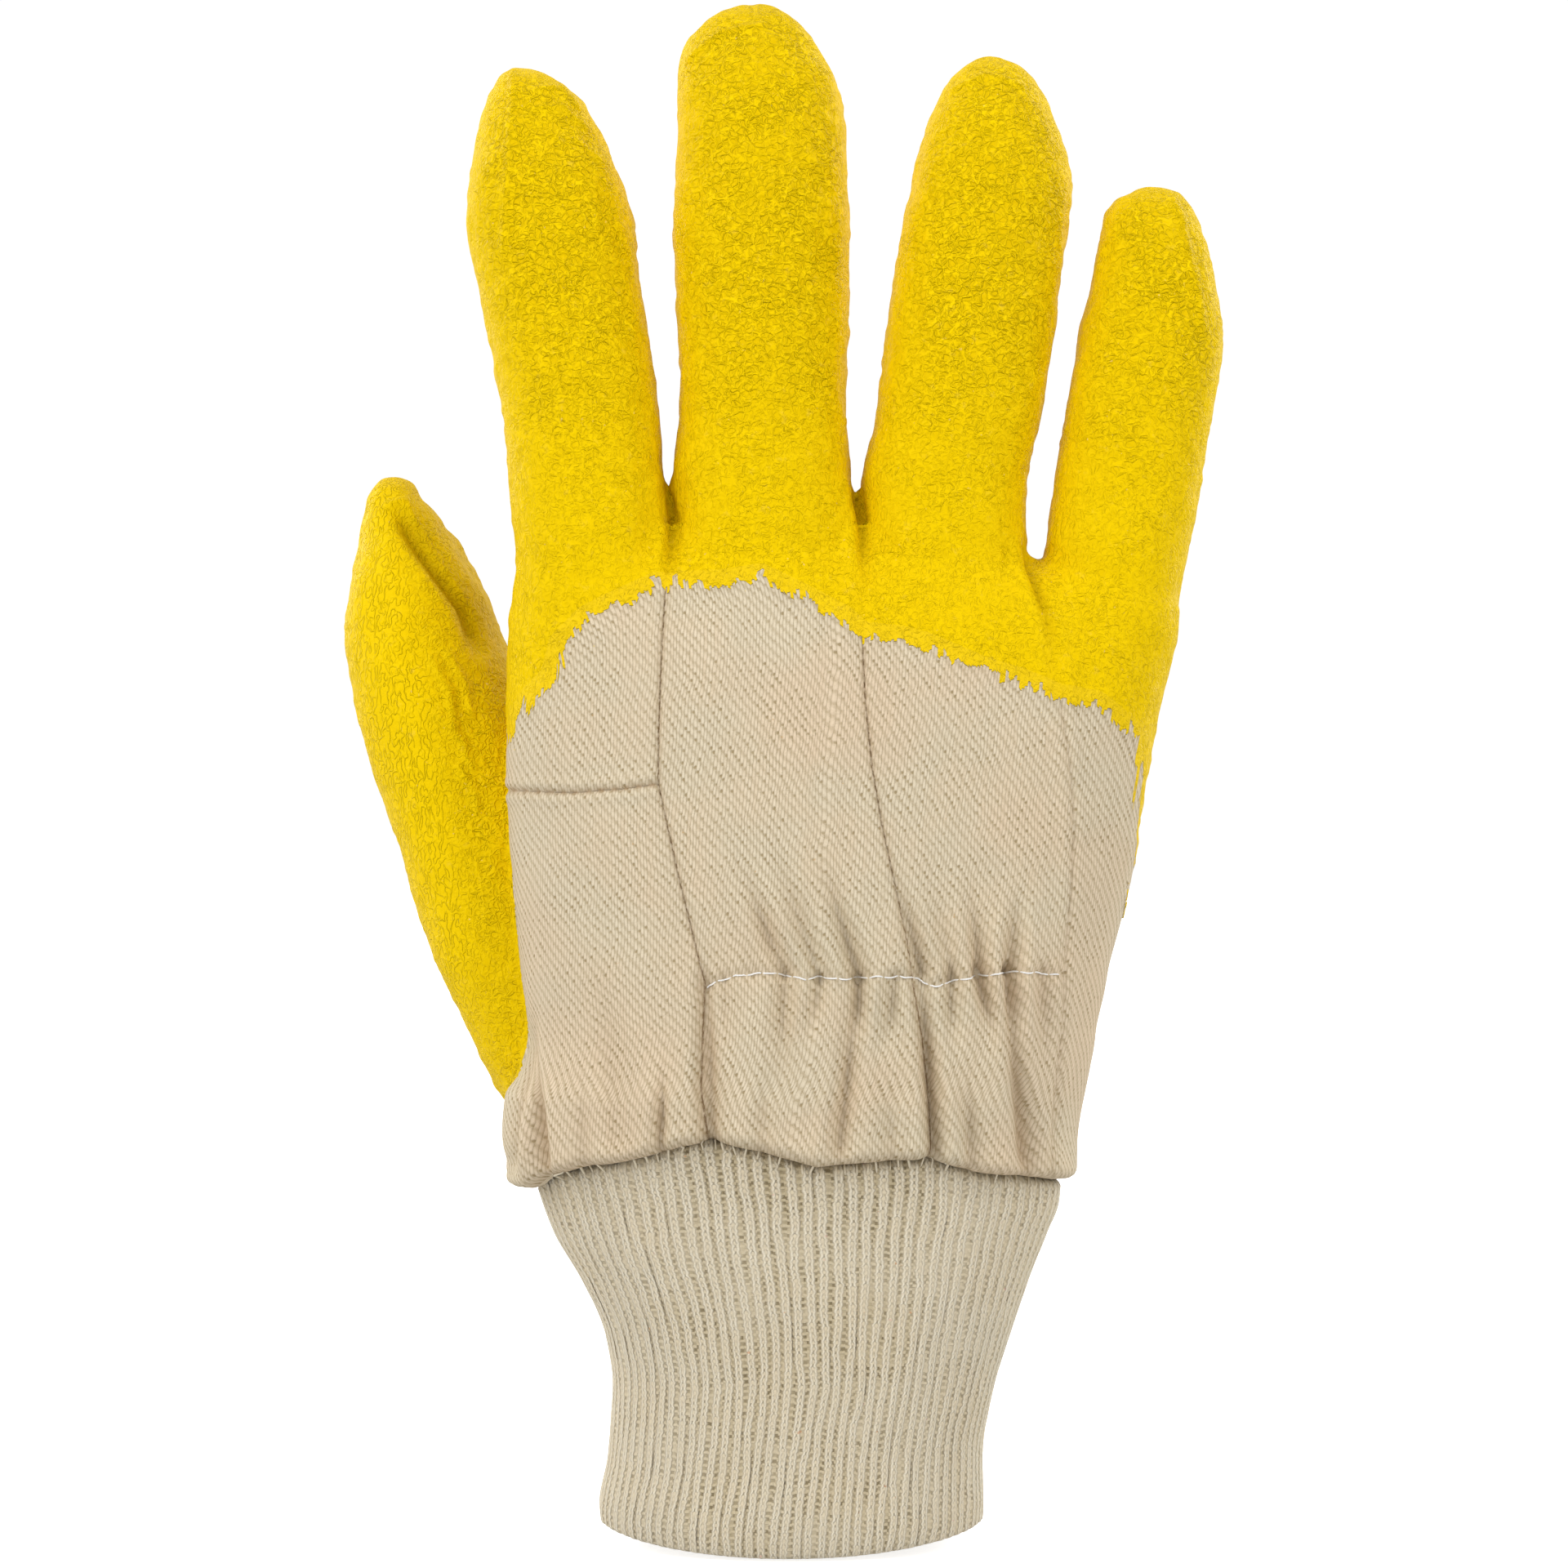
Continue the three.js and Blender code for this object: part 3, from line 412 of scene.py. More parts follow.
class Limb:
    """A hand, finger or thumb: superellipse sections stacked along z, closed at the top."""

    STEP = 0.25

    def __init__(self, z, left, right, back, palm, squareness, root, middle=None):
        half, deep = (right - left) / 2, (palm - back) / 2
        top = z[-1] + 0.4
        self.z = np.arange(30.0, top + 12.0, self.STEP)
        self.middle_x = along(z, (left + right) / 2, self.z)
        self.middle_y = along(z, (back + palm) / 2, self.z) if middle is None else middle(self.z)
        self.ratio = along(z, deep / half, self.z)
        self.square = along(np.append(z, top), np.append(deep ** 2, 0.0), self.z)
        self.square -= np.maximum(self.z - top, 0) * deep[-1] ** 2 / 0.4
        self.squareness, self.root = squareness, root

    def distance(self, p):
        at = np.clip((p[:, 2] - self.z[0]) / self.STEP, 0, len(self.z) - 1.001)
        i = at.astype(int)
        t = at - i
        rows = self.middle_x, self.middle_y, self.ratio, self.square
        middle_x, middle_y, ratio, square = (row[i] * (1 - t) + row[i + 1] * t for row in rows)
        dx, dy = np.abs(ratio * (p[:, 0] - middle_x)), np.abs(p[:, 1] - middle_y)
        n = self.squareness
        reach = (dx ** n + dy ** n) ** (2 / n)
        steep = np.sqrt((ratio ** 2 * dx ** 2 + dy ** 2 + 0.01) / (dx ** 2 + dy ** 2 + 0.01))
        inside = (reach - square) / (2 * np.sqrt(np.maximum(square, 9.0)) * steep)
        return inside + 0.6 * np.maximum(self.root - p[:, 2], 0)


def finger_limb(rows):
    """A finger from its table, whose centre line leans towards the palm."""
    z, left, right, thickness = rows.T
    return Limb(z, left, right, -thickness / 2, thickness / 2, FINGER_SQUARENESS, z[0], finger_middle)


def thumb_limb(rows):
    """The thumb from its table, which also holds the depth of its centre line."""
    z, left, right, thickness, middle = rows.T
    return Limb(z, left, right, middle - thickness / 2, middle + thickness / 2, FINGER_SQUARENESS, 70.0)


HAND_LIMB = Limb(*HAND.T, HAND_SQUARENESS, 0.0)
FINGER_LIMBS = [finger_limb(rows) for rows in FINGERS.values()]
THUMB_LIMB = thumb_limb(THUMB)


def body_parts(p):
    """Distance to the hand with its fingers, and to the thumb."""
    rest = FINGER_LIMBS[0].distance(p)
    for limb in FINGER_LIMBS[1:]:
        rest = merge(rest, limb.distance(p), 2.5)
    return merge(rest, HAND_LIMB.distance(p), 5.0), THUMB_LIMB.distance(p)


def body_distance(p):
    """Distance to the hand with its fingers and thumb."""
    rest, thumb = body_parts(p)
    return merge(rest, thumb, 3.0)


def settle(points, level, rounds):
    """Moves points onto the body's skin, or level inside it, and gives back the directions out of it."""
    for _ in range(rounds):
        value = body_distance(points)
        slope = np.stack([body_distance(points + step) - value for step in 0.05 * np.eye(3)], axis=1) / 0.05
        size = np.maximum((slope ** 2).sum(1), 0.09)
        move = (value - level)[:, None] * slope / size[:, None]
        points = points - move * np.minimum(1, 1.0 / np.maximum(np.linalg.norm(move, axis=1), 1e-6))[:, None]
    return points, slope / np.sqrt(size)[:, None]


def surface_net(value, low, cell):
    """Points and four-cornered faces where a grid of values crosses nought."""
    inside = value < 0
    size = np.array(value.shape) - 1
    count = np.zeros(size, np.uint8)
    for i, j, k in np.ndindex(2, 2, 2):
        count += inside[i:i + size[0], j:j + size[1], k:k + size[2]]
    cells = np.argwhere((count > 0) & (count < 8))
    number = np.full(size, -1)
    number[tuple(cells.T)] = np.arange(len(cells))
    total, hits = np.zeros((len(cells), 3)), np.zeros(len(cells))
    for axis in range(3):
        for i, j in np.ndindex(2, 2):
            start = np.insert(np.array([i, j]), axis, 0)
            end = np.insert(np.array([i, j]), axis, 1)
            a, b = value[tuple((cells + start).T)], value[tuple((cells + end).T)]
            crossed = (a < 0) != (b < 0)
            t = np.where(crossed, a / np.where(crossed, a - b, 1.0), 0.0)
            total += crossed[:, None] * (start + t[:, None] * (end - start))
            hits += crossed
    faces = []
    for axis in range(3):
        u, v = (axis + 1) % 3, (axis + 2) % 3
        low_side = np.take(inside, range(size[axis]), axis)
        high_side = np.take(inside, range(1, size[axis] + 1), axis)
        at = np.argwhere(low_side != high_side)
        at = at[(at[:, u] > 0) & (at[:, v] > 0) & (at[:, u] < size[u]) & (at[:, v] < size[v])]
        step_u, step_v = np.eye(3, dtype=int)[u], np.eye(3, dtype=int)[v]
        ring = [number[tuple((at - back).T)] for back in (0 * step_u, step_u, step_u + step_v, step_v)]
        quads = np.stack(ring, axis=1)
        outward = low_side[tuple(at.T)]
        faces.append(np.where(outward[:, None], quads, quads[:, ::-1]))
    return low + cell * (cells + total / hits[:, None]), np.concatenate(faces)


def subdivided(points, quads):
    """Each face split into four."""
    pairs = np.sort(np.stack([quads, np.roll(quads, -1, axis=1)], axis=2).reshape(-1, 2), axis=1)
    edges, number = np.unique(pairs, axis=0, return_inverse=True)
    middle = number.reshape(-1, 4) + len(points)
    centre = np.arange(len(quads)) + len(points) + len(edges)
    points = np.concatenate([points, points[edges].mean(1), points[quads].mean(1)])
    faces = [np.stack([quads[:, k], middle[:, k], centre, middle[:, k - 1]], axis=1) for k in range(4)]
    return points, np.concatenate(faces)


class Skin:
    """Triangles over the whole body, each with the name of the piece that it belongs to."""

    def __init__(self, cell, level, fine):
        low = np.array(SKIN_BOX[0])
        axes = [np.arange(start, end, cell) for start, end in zip(*SKIN_BOX)]
        grid = np.stack(np.meshgrid(*axes, indexing="ij"), axis=-1)
        value = body_distance(grid.reshape(-1, 3)).reshape(grid.shape[:3]) - level
        points, quads = surface_net(value, low, cell)
        points, self.out = settle(points, level, 2)
        if fine:
            points, quads = subdivided(points, quads)
            points, self.out = settle(points, level, 2)
        self.points = points
        self.faces = np.concatenate([quads[:, [0, 1, 2]], quads[:, [0, 2, 3]]])
        self.piece = np.full(len(self.faces), "body", dtype="U24")

    def divide(self, old, new, measure, near=0.03):
        """Cuts the triangles of one piece where measure is nought, and renames those above it."""
        chosen = self.piece == old
        used = np.unique(self.faces[chosen])
        value = np.zeros(len(self.points))
        value[used] = measure(self.points[used])
        side = np.where(value > near, 1, np.where(value < -near, -1, 0))
        s = side[self.faces]
        split = chosen & (s.min(1) < 0) & (s.max(1) > 0)
        cut, s = self.faces[split], s[split]
        touching = (s == 0).any(1)
        first = np.where(touching, (s == 0).argmax(1), (s == -s.sum(1)[:, None]).argmax(1))
        a, b, c = np.take_along_axis(cut, (first[:, None] + np.arange(3)) % 3, 1).T
        odd = ~touching
        pairs = np.concatenate([
            np.stack([a, b], 1)[odd], np.stack([a, c], 1)[odd], np.stack([b, c], 1)[touching]])
        if len(pairs):
            edges, number = np.unique(np.sort(pairs, axis=1), axis=0, return_inverse=True)
            number = number.reshape(-1) + len(self.points)
            start, end = edges.T
            t = (value[start] / (value[start] - value[end]))[:, None]
            points = self.points[start] * (1 - t) + self.points[end] * t
            out = self.out[start] * (1 - t) + self.out[end] * t
            self.points = np.concatenate([self.points, points])
            self.out = np.concatenate([self.out, out / np.linalg.norm(out, axis=1)[:, None]])
            value = np.concatenate([value, np.zeros(len(edges))])
            count = odd.sum()
            on_ab, on_ac, on_bc = number[:count], number[count:2 * count], number[2 * count:]
            made = [
                np.stack([a[odd], on_ab, on_ac], 1), np.stack([on_ab, b[odd], c[odd]], 1),
                np.stack([on_ab, c[odd], on_ac], 1), np.stack([a[touching], b[touching], on_bc], 1),
                np.stack([a[touching], on_bc, c[touching]], 1)]
            self.faces = np.concatenate([self.faces[~split], *made])
            self.piece = np.concatenate([
                self.piece[~split], np.full(sum(len(m) for m in made), old, dtype="U24")])
        above = (self.piece == old) & (value[self.faces].sum(1) > 0)
        self.piece[above] = new

    def cut_into_pieces(self):
        """Cuts the skin along its seams and along the edge of the coating."""
        self.divide("body", "thumb_back", lambda p: np.subtract(*body_parts(p)))
        self.divide("thumb_back", "thumb_front", lambda p: p[:, 1] - along(THUMB[:, 0], THUMB[:, 4], p[:, 2]))
        self.divide("body", "coated_palm", lambda p: p[:, 1] - finger_middle(p[:, 2]))
        for name, (seam, _) in zip(FINGERS, STRIP_SEAMS):
            self.divide("body", "rest", lambda p: p[:, 0] - np.interp(p[:, 2], *seam.T))
            self.piece[self.piece == "body"] = name
            self.piece[self.piece == "rest"] = "body"
        self.piece[self.piece == "body"] = "little"
        for name in FINGERS:
            self.divide(name, name + "_finger_back", lambda p: side_of(COATING_EDGE_BACK, p) - SMEAR)
            self.piece[self.piece == name] = name + "_back_panel"
        self.divide("index_back_panel", "index_knuckle_panel", lambda p: side_of(KNUCKLE_SEAM, p))
        self.piece[self.piece == "coated_palm"] = "palm_heel"
        self.divide("palm_heel", "coated_palm", lambda p: side_of(COATING_EDGE_PALM, p) - SMEAR)
        for name in set(self.piece):
            self.divide(name, name + "+", hem_height)
            self.piece[self.piece == name] = ""
            self.piece[self.piece == name + "+"] = name
        kept = self.piece != ""
        self.faces, self.piece = self.faces[kept], self.piece[kept]


def side_of(line, p):
    """Distance in x and z to a line across the glove, positive above it."""
    best = np.full(len(p), 1e9)
    result = np.zeros(len(p))
    for (x0, z0), (x1, z1) in zip(line[:-1], line[1:]):
        dx, dz = x1 - x0, z1 - z0
        t = np.clip(((p[:, 0] - x0) * dx + (p[:, 2] - z0) * dz) / (dx * dx + dz * dz), 0, 1)
        off_x, off_z = p[:, 0] - x0 - t * dx, p[:, 2] - z0 - t * dz
        away = off_x ** 2 + off_z ** 2
        nearer = away < best
        best = np.where(nearer, away, best)
        result = np.where(nearer, np.sqrt(away) * np.sign(dx * off_z - dz * off_x), result)
    return result


def hem_height(p):
    """Height above the seam where the cotton meets the cuff."""
    back = np.interp(p[:, 0], *CUFF_SEAM_BACK.T)
    palm = np.interp(p[:, 0], *CUFF_SEAM_PALM.T)
    return p[:, 2] - np.where(p[:, 1] < 0, back, palm)


def section(table, z, squareness, turn):
    """Points round a section of the hand or cuff from the middle of the palm, and the way round to each."""
    left, right, back, palm = (along(table[:, 0], table[:, k], np.array([z]))[0] for k in range(1, 5))
    power = 2 / squareness
    x = (left + right) / 2 + (right - left) / 2 * np.sign(np.sin(turn)) * np.abs(np.sin(turn)) ** power
    y = (back + palm) / 2 - (palm - back) / 2 * np.sign(np.cos(turn)) * np.abs(np.cos(turn)) ** power
    return x, y, np.append(0, np.cumsum(np.hypot(np.diff(x), np.diff(y))))


def round_the_hand(p):
    """Way round the hand from the middle of its back, positive towards the little finger, and the girth."""
    power = HAND_SQUARENESS / 2
    levels = np.arange(50.0, 151.0, LEVEL_STEP)
    turn = np.linspace(-math.pi, math.pi, STEPS_ROUND + 1)
    ways = np.array([section(HAND, z, HAND_SQUARENESS, turn)[2] for z in levels])
    ways -= ways[:, STEPS_ROUND // 2, None]
    z = np.minimum(p[:, 2], levels[-1])
    left, right = (along(HAND[:, 0], HAND[:, k], z) for k in (1, 2))
    back, palm = (along(HAND[:, 0], HAND[:, k], np.minimum(p[:, 2], 163.0)) for k in (3, 4))
    dx = (p[:, 0] - (left + right) / 2) / ((right - left) / 2)
    dy = (p[:, 1] - (back + palm) / 2) / ((palm - back) / 2)
    angle = np.arctan2(np.sign(dx) * np.abs(dx) ** power, -np.sign(dy) * np.abs(dy) ** power)
    at_z = np.clip((z - levels[0]) / LEVEL_STEP, 0, len(levels) - 1.001)
    at_t = np.clip((angle + math.pi) / (2 * math.pi) * STEPS_ROUND, 0, STEPS_ROUND - 0.001)
    i, j = at_z.astype(int), at_t.astype(int)
    s, t = at_z - i, at_t - j
    low = ways[i, j] * (1 - t) + ways[i, j + 1] * t
    high = ways[i + 1, j] * (1 - t) + ways[i + 1, j + 1] * t
    return low * (1 - s) + high * s, np.interp(z, levels, ways[:, -1] - ways[:, 0])


class Relief:
    """How far the skin stands out at each of its points, and what its material has to know there."""

    def __init__(self, p, out, shape):
        self.p, self.out, self.shape = p, out, shape
        self.x, self.y, self.z = p.T
        rest, thumb = body_parts(p)
        self.off_thumb = rest - thumb
        self.on_thumb = ease(self.off_thumb, 0.0, 2.0)
        self.on_back = ease(finger_middle(self.z) + 2.0 - self.y, 0.0, 4.0) * (1 - self.on_thumb)
        edge_distance = np.where(
            self.y < finger_middle(self.z), side_of(COATING_EDGE_BACK, p), side_of(COATING_EDGE_PALM, p))
        self.coating = np.where(self.on_thumb > 0.5, ON_THUMB, edge_distance)
        self.on_cotton = ease(-self.coating, -1.0, 2.0)
        self.groove = shape.seam_depth * 1000
        # dark holds the painted shade of creases, seams, folds and the hem, from nought to one, for the
        # materials to blend in
        self.height, self.dark = np.zeros(len(p)), np.zeros(len(p))
        self.seam = np.full(len(p), FAR)
        self.wrinkled = self.how_wrinkled()
        self.strip_seams()
        self.knuckle_seam()
        self.elastic_row()
        self.folds()
        self.loose_cotton()
        self.webs()
        self.uneven_rubber()
        self.thumb_fold()

    def shade(self, value):
        """Paints shade into a crease, where it isn't darker already."""
        self.dark = np.maximum(self.dark, value)

    def how_wrinkled(self):
        """How strong the rubber's wrinkles are, from nought to one."""
        facing = ease(-self.out[:, 1], 0.25, 0.8)
        on_front = self.y > finger_middle(self.z) + 2
        back = (0.55 + 0.45 * facing) * (0.5 + 0.5 * ease(self.z, 168.0, 215.0))
        fingers = np.where(on_front, 0.95, back)
        fingers = fingers * (1 - 0.35 * self.on_back * ease(-self.out[:, 0], 0.2, 0.8))
        flank = np.interp(self.z, *THUMB_FLANK.T)
        thumb_back = 0.1 + 0.5 * ease(self.x, flank - 2, flank + 5)
        return np.where(self.on_thumb > 0.5, np.where(self.out[:, 1] < 0.2, thumb_back, 0.9), fingers)

    def strip_seams(self):
        """Grooves between the strips of the back, wider below the elastic row, with painted shade in them."""
        for k, (seam, fork) in enumerate(STRIP_SEAMS):
            outer = k == 2
            off = self.x - np.interp(self.z, *seam.T)
            low = 0.35 * (1 - ease(self.z, 70.0, 80.0)) if outer else 1 - ease(self.z, 95.0, 99.0)
            width = 0.38 + 0.8 * low + 0.5 * (1 - self.on_cotton)
            depth = self.groove * (0.55 if outer else 1.0) * (0.25 + 0.75 * self.on_cotton) * (1 + 1.7 * low)
            here = self.on_back * (1 - ease(self.z, fork - 8.0, fork - 2.0))
            self.height -= here * depth * np.exp(-np.abs(off / width) ** 1.7)
            self.height += here * 0.3 * bell(np.abs(off) - 1.7 * width - 0.6, 1.0)
            # Painted shade in the groove, stronger below the elastic row and waving along the stitches
            stitch = 0.75 + 0.25 * np.sin(self.z * 2.6)
            strong = (0.12 if outer else 0.3) + 0.15 * low
            self.shade(here * self.on_cotton * strong * stitch * bell(off, 0.45 + 0.6 * low))
            weak = 0.17 if outer else 0.0
            self.seam = np.minimum(self.seam, np.abs(off) + weak + FAR * (1 - here))

    def knuckle_seam(self):
        """The seam across the index strip, with its stitches: a groove darkened in dashes that are partly
        dark needle holes and partly painted shade.
        """
        off = side_of(KNUCKLE_SEAM, self.p)
        here = self.on_back * ease(-21.9 - self.x, 0.0, 0.5) * self.on_cotton
        lips = 0.25 * bell(np.abs(off) - 1.3, 0.9)
        self.height += here * (lips - self.groove * np.exp(-np.abs(off / 0.45) ** 1.7))
        # Darkened in dashes along the stitches: partly dark needle holes, partly painted shade in the groove
        stitches = 0.3 + 0.6 * ease(np.sin(self.x * 2.9), -0.4, 0.3)
        self.shade(here * stitches * bell(off, 0.34))

    def elastic_row(self):
        """The groove of the elastic row, with a little painted shade in it, and the small gathers that fan
        out from it.
        """
        row = np.interp(self.x, *ELASTIC_ROW.T)
        off = self.z - row
        here = self.on_back * ease(self.x, -15.5, -14.0) * ease(self.x, 45.5, 44.0)
        self.height -= here * 0.45 * bell(off, 0.8)
        # Painted shade in the row's groove
        self.shade(here * 0.08 * bell(off, 0.9))
        flat = np.stack([self.x, np.zeros(len(self.x)), self.z * 0.22], axis=1)
        fan = np.exp(-np.abs(off) / np.where(off > 0, 7.0, 11.0))
        self.height += here * fan * (0.9 * lattice_noise(flat, 3.6, 5) + 0.35 * lattice_noise(flat, 1.9, 16))

    def folds(self):
        """The valleys above, below and beside the elastic row, with painted shade along them."""
        for x_top, z_top, x_low, z_low, depth, width, darkness in FOLDS:
            t = (z_top - self.z) / (z_top - z_low)
            if z_low > FOLD_ENDS_AT_ROW:
                reach = ease(t, -0.3, 0.85) * (1 - ease(t, 1.0, 1.12))
            elif z_low > FOLD_ENDS_AT_HEM:
                reach = ease(t, -0.15, 0.1) * (1 - ease(t, 0.3, 1.15))
            else:
                reach = ease(t, -0.35, 0.55) * (1 - ease(t, 0.9, 1.15))
            reach = reach * self.on_back * self.on_cotton
            middle = x_top + (x_low - x_top) * np.clip(t, -0.35, 1)
            off = (self.x - middle) / (width * (0.8 + 0.35 * np.clip(t, 0, 1)))
            self.height -= reach * 1.2 * depth * np.exp(-np.abs(off) ** 1.5)
            self.height += reach * depth * 0.4 * bell(np.abs(off) - 2.1, 1.0)
            # Painted shade along the valley, stronger where it runs into the hem
            shade = 0.42 if z_low > FOLD_ENDS_AT_HEM else 0.7
            self.shade(reach * darkness * shade * bell(off, 0.6))

    def loose_cotton(self):
        """Uneven cotton, the gathers above the cuff and the hem's rolled edge, with painted shade along that
        edge.
        """
        cotton = self.on_cotton * (1 - self.on_thumb)
        on_palm = (1 - self.on_back) * (1 - self.on_thumb)
        up = hem_height(self.p)
        gathers = np.stack([self.x, self.y * 0.5, self.z * 0.12], axis=1)
        fine, broad = lattice_noise(gathers, 2.4, 7), lattice_noise(gathers, 4.6, 8)
        self.height += cotton * (0.38 * lattice_noise(self.p, 13.0, 1) + 0.13 * lattice_noise(self.p, 5.0, 2))
        self.height += cotton * on_palm * np.exp(-up / 16.0) * 0.8 * lattice_noise(gathers, 4.2, 6)
        self.height += cotton * np.exp(-up / 6.0) * (0.4 * fine + 0.4 * broad)
        self.height += cotton * 0.3 * bell(up - 2.0, 1.5)
        self.height -= self.shape.hem_roll * 1000 * np.exp(-np.maximum(up, 0) / 0.55)
        # Painted shade along the hem's rolled edge, a thin dark line where the cotton meets the cuff
        self.shade(cotton * 0.3 * np.exp(-np.maximum(up, 0) / 0.3))

    def webs(self):
        """Creases where one finger is pressed in beside the next, with painted shade in them."""
        for crease, depth, width in WEBS:
            low_end, top_end = crease[0, 0], crease[-1, 0]
            off = self.x - np.interp(self.z, *crease.T)
            here = self.on_back * ease(self.z, low_end, top_end - 5.0)
            here = here * (1 - ease(self.z, top_end, top_end + 4.0)) * ease(-self.out[:, 1], 0.1, 0.6)
            self.height -= here * depth * bell(off, np.where(off < 0, 0.5, width))
            self.height += here * 0.5 * bell(off + 1.6, 1.1)
            # Painted shade in the crease, mostly on its pressed-in side
            self.shade(0.75 * here * bell(off, np.where(off < 0, 0.35, 0.55 * width)))

    def uneven_rubber(self):
        """Lumps and wrinkles of the rubber, and its raised creases."""
        rubber = 1 - self.on_cotton
        lumps = 0.3 * lattice_noise(self.p, 9.0, 3) + 0.16 * lattice_noise(self.p, 4.0, 9)
        wrinkles = 0.17 * lattice_noise(self.p, 2.4, 4) + 0.12 * lattice_noise(self.p, 1.3, 8)
        flank = 1 - ease(np.abs(self.out[:, 1]), 0.25, 0.7)
        self.height += rubber * lumps + rubber * self.wrinkled * wrinkles
        self.height += rubber * flank * 0.2 * lattice_noise(self.p, 1.7, 10)
        on_front = rubber * ease(-self.out[:, 1], -0.2, 0.15)
        for points, rise, width in CREASES:
            self.height += on_front * rise * bell(side_of(np.array(points), self.p), width)

    def thumb_fold(self):
        """The thumb's deep fold below its tip, its flank pressed back on the right, and its sewn-in root.
        Painted shade darkens the fold and the flank beside it.
        """
        here = self.on_thumb * ease(-self.out[:, 1], -0.3, 0.2)
        off = (self.x - np.interp(self.z, *THUMB_FOLD.T)) * 0.8
        here = here * ease(self.z, 148.0, 157.0) * (1 - ease(self.z, 172.0, 177.5))
        valley = bell(off, 1.2)
        self.height -= here * (2.0 * valley + 1.1 * ease(off, 0.0, 3.5))
        self.height += here * 0.7 * bell(off - 4.0, 1.6)
        # Painted shade in the fold's valley and on the flank to its right
        self.shade(here * (0.7 * valley + 0.34 * ease(off, -1.0, 1.0) * (1 - ease(off, 2.0, 5.0))))
        self.height -= 0.5 * bell(self.off_thumb, 1.2) * ease(self.z, 74.0, 90.0)


MADE = {}  # what several pieces share, each made once


def outer_skin(shape):
    """The fine outer skin with all its relief, made once."""
    if "skin" in MADE:
        return MADE["skin"]
    skin = Skin(shape.cell * 1000, 0.0, True)
    skin.cut_into_pieces()
    form = Relief(skin.points, skin.out, shape)
    skin.values = {"dark": form.dark, "wrinkled": form.wrinkled, "coating": form.coating, "seam": form.seam}
    way_round, skin.girth = round_the_hand(skin.points)
    skin.cloth = np.stack([way_round, skin.points[:, 2]], axis=1)
    skin.flat_out = skin.out
    skin.points = skin.points + skin.out * form.height[:, None]
    skin.out = smooth_normals(skin.points, skin.faces)
    MADE["skin"] = skin
    return skin


def inner_skin(shape):
    """The plain lining side, a wall's thickness inside the outer skin."""
    if "lining" not in MADE:
        skin = Skin(LINING_CELL, -shape.wall * 1000, False)
        skin.cut_into_pieces()
        height = np.minimum(Relief(skin.points, skin.out, shape).height, 0.0)
        skin.points = skin.points + skin.out * (1.1 * height - 0.2)[:, None]
        MADE["lining"] = skin
    return MADE["lining"]


def smooth_normals(points, faces):
    """The direction out of the skin at each point, averaged over its triangles."""
    a, b, c = (points[faces[:, k]] for k in range(3))
    across = np.cross(b - a, c - a)
    total = np.zeros((len(points), 3))
    for axis in range(3):
        total[:, axis] = sum(np.bincount(faces[:, k], across[:, axis], len(points)) for k in range(3))
    return total / np.maximum(np.linalg.norm(total, axis=1), 1e-12)[:, None]


def gathered(skin, chosen):
    """The points and faces of some triangles alone, with the numbers of the points that they use."""
    faces = skin.faces[chosen]
    used, number = np.unique(faces, return_inverse=True)
    return used, number.reshape(faces.shape)


def rim_of(faces):
    """The free edges round a piece, each in the direction of its face."""
    edges = np.concatenate([faces[:, [0, 1]], faces[:, [1, 2]], faces[:, [2, 0]]])
    code = np.sort(edges, axis=1)
    _, first, count = np.unique(code, axis=0, return_index=True, return_counts=True)
    return edges[first[count == 1]]


def mesh_object(name, points, faces, materials, cloth=None, values=None, normals=None, second=0):
    """A mesh object from points in millimetres. The last `second` faces take the second material."""
    mesh = bpy.data.meshes.new(name)
    sides = faces.shape[1]
    mesh.vertices.add(len(points))
    mesh.vertices.foreach_set("co", (points / 1000.0).astype(np.float32).ravel())
    mesh.loops.add(faces.size)
    mesh.loops.foreach_set("vertex_index", faces.astype(np.int32).ravel())
    mesh.polygons.add(len(faces))
    mesh.polygons.foreach_set("loop_start", np.arange(0, faces.size, sides, dtype=np.int32))
    for material in materials:
        mesh.materials.append(material)
    slots = np.zeros(len(faces), np.int32)
    if second:
        slots[-second:] = 1
    mesh.polygons.foreach_set("material_index", slots)
    mesh.polygons.foreach_set("use_smooth", np.ones(len(faces), bool))
    mesh.update(calc_edges=True)
    if cloth is not None:
        layer = mesh.uv_layers.new(name="cloth")
        corners = cloth if len(cloth) == faces.size else cloth[faces.ravel()]
        layer.data.foreach_set("uv", corners.astype(np.float32).ravel())
    for key, column in (values or {}).items():
        attribute = mesh.attributes.new(key, "FLOAT", "POINT")
        attribute.data.foreach_set("value", column.astype(np.float32))
    if mesh.validate():
        raise RuntimeError(f"{name} has broken faces")
    if normals is not None:
        mesh.normals_split_custom_set_from_vertices(normals.astype(np.float32).tolist())
    piece = bpy.data.objects.new(name, mesh)
    bpy.context.scene.collection.objects.link(piece)
    return piece


def settle_in_frame(piece, slot, *nodes):
    """Gives a piece its body and hides the solids that it stands for. The slot is not used."""
    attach(piece, "root")
    if nodes:
        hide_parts(*nodes)


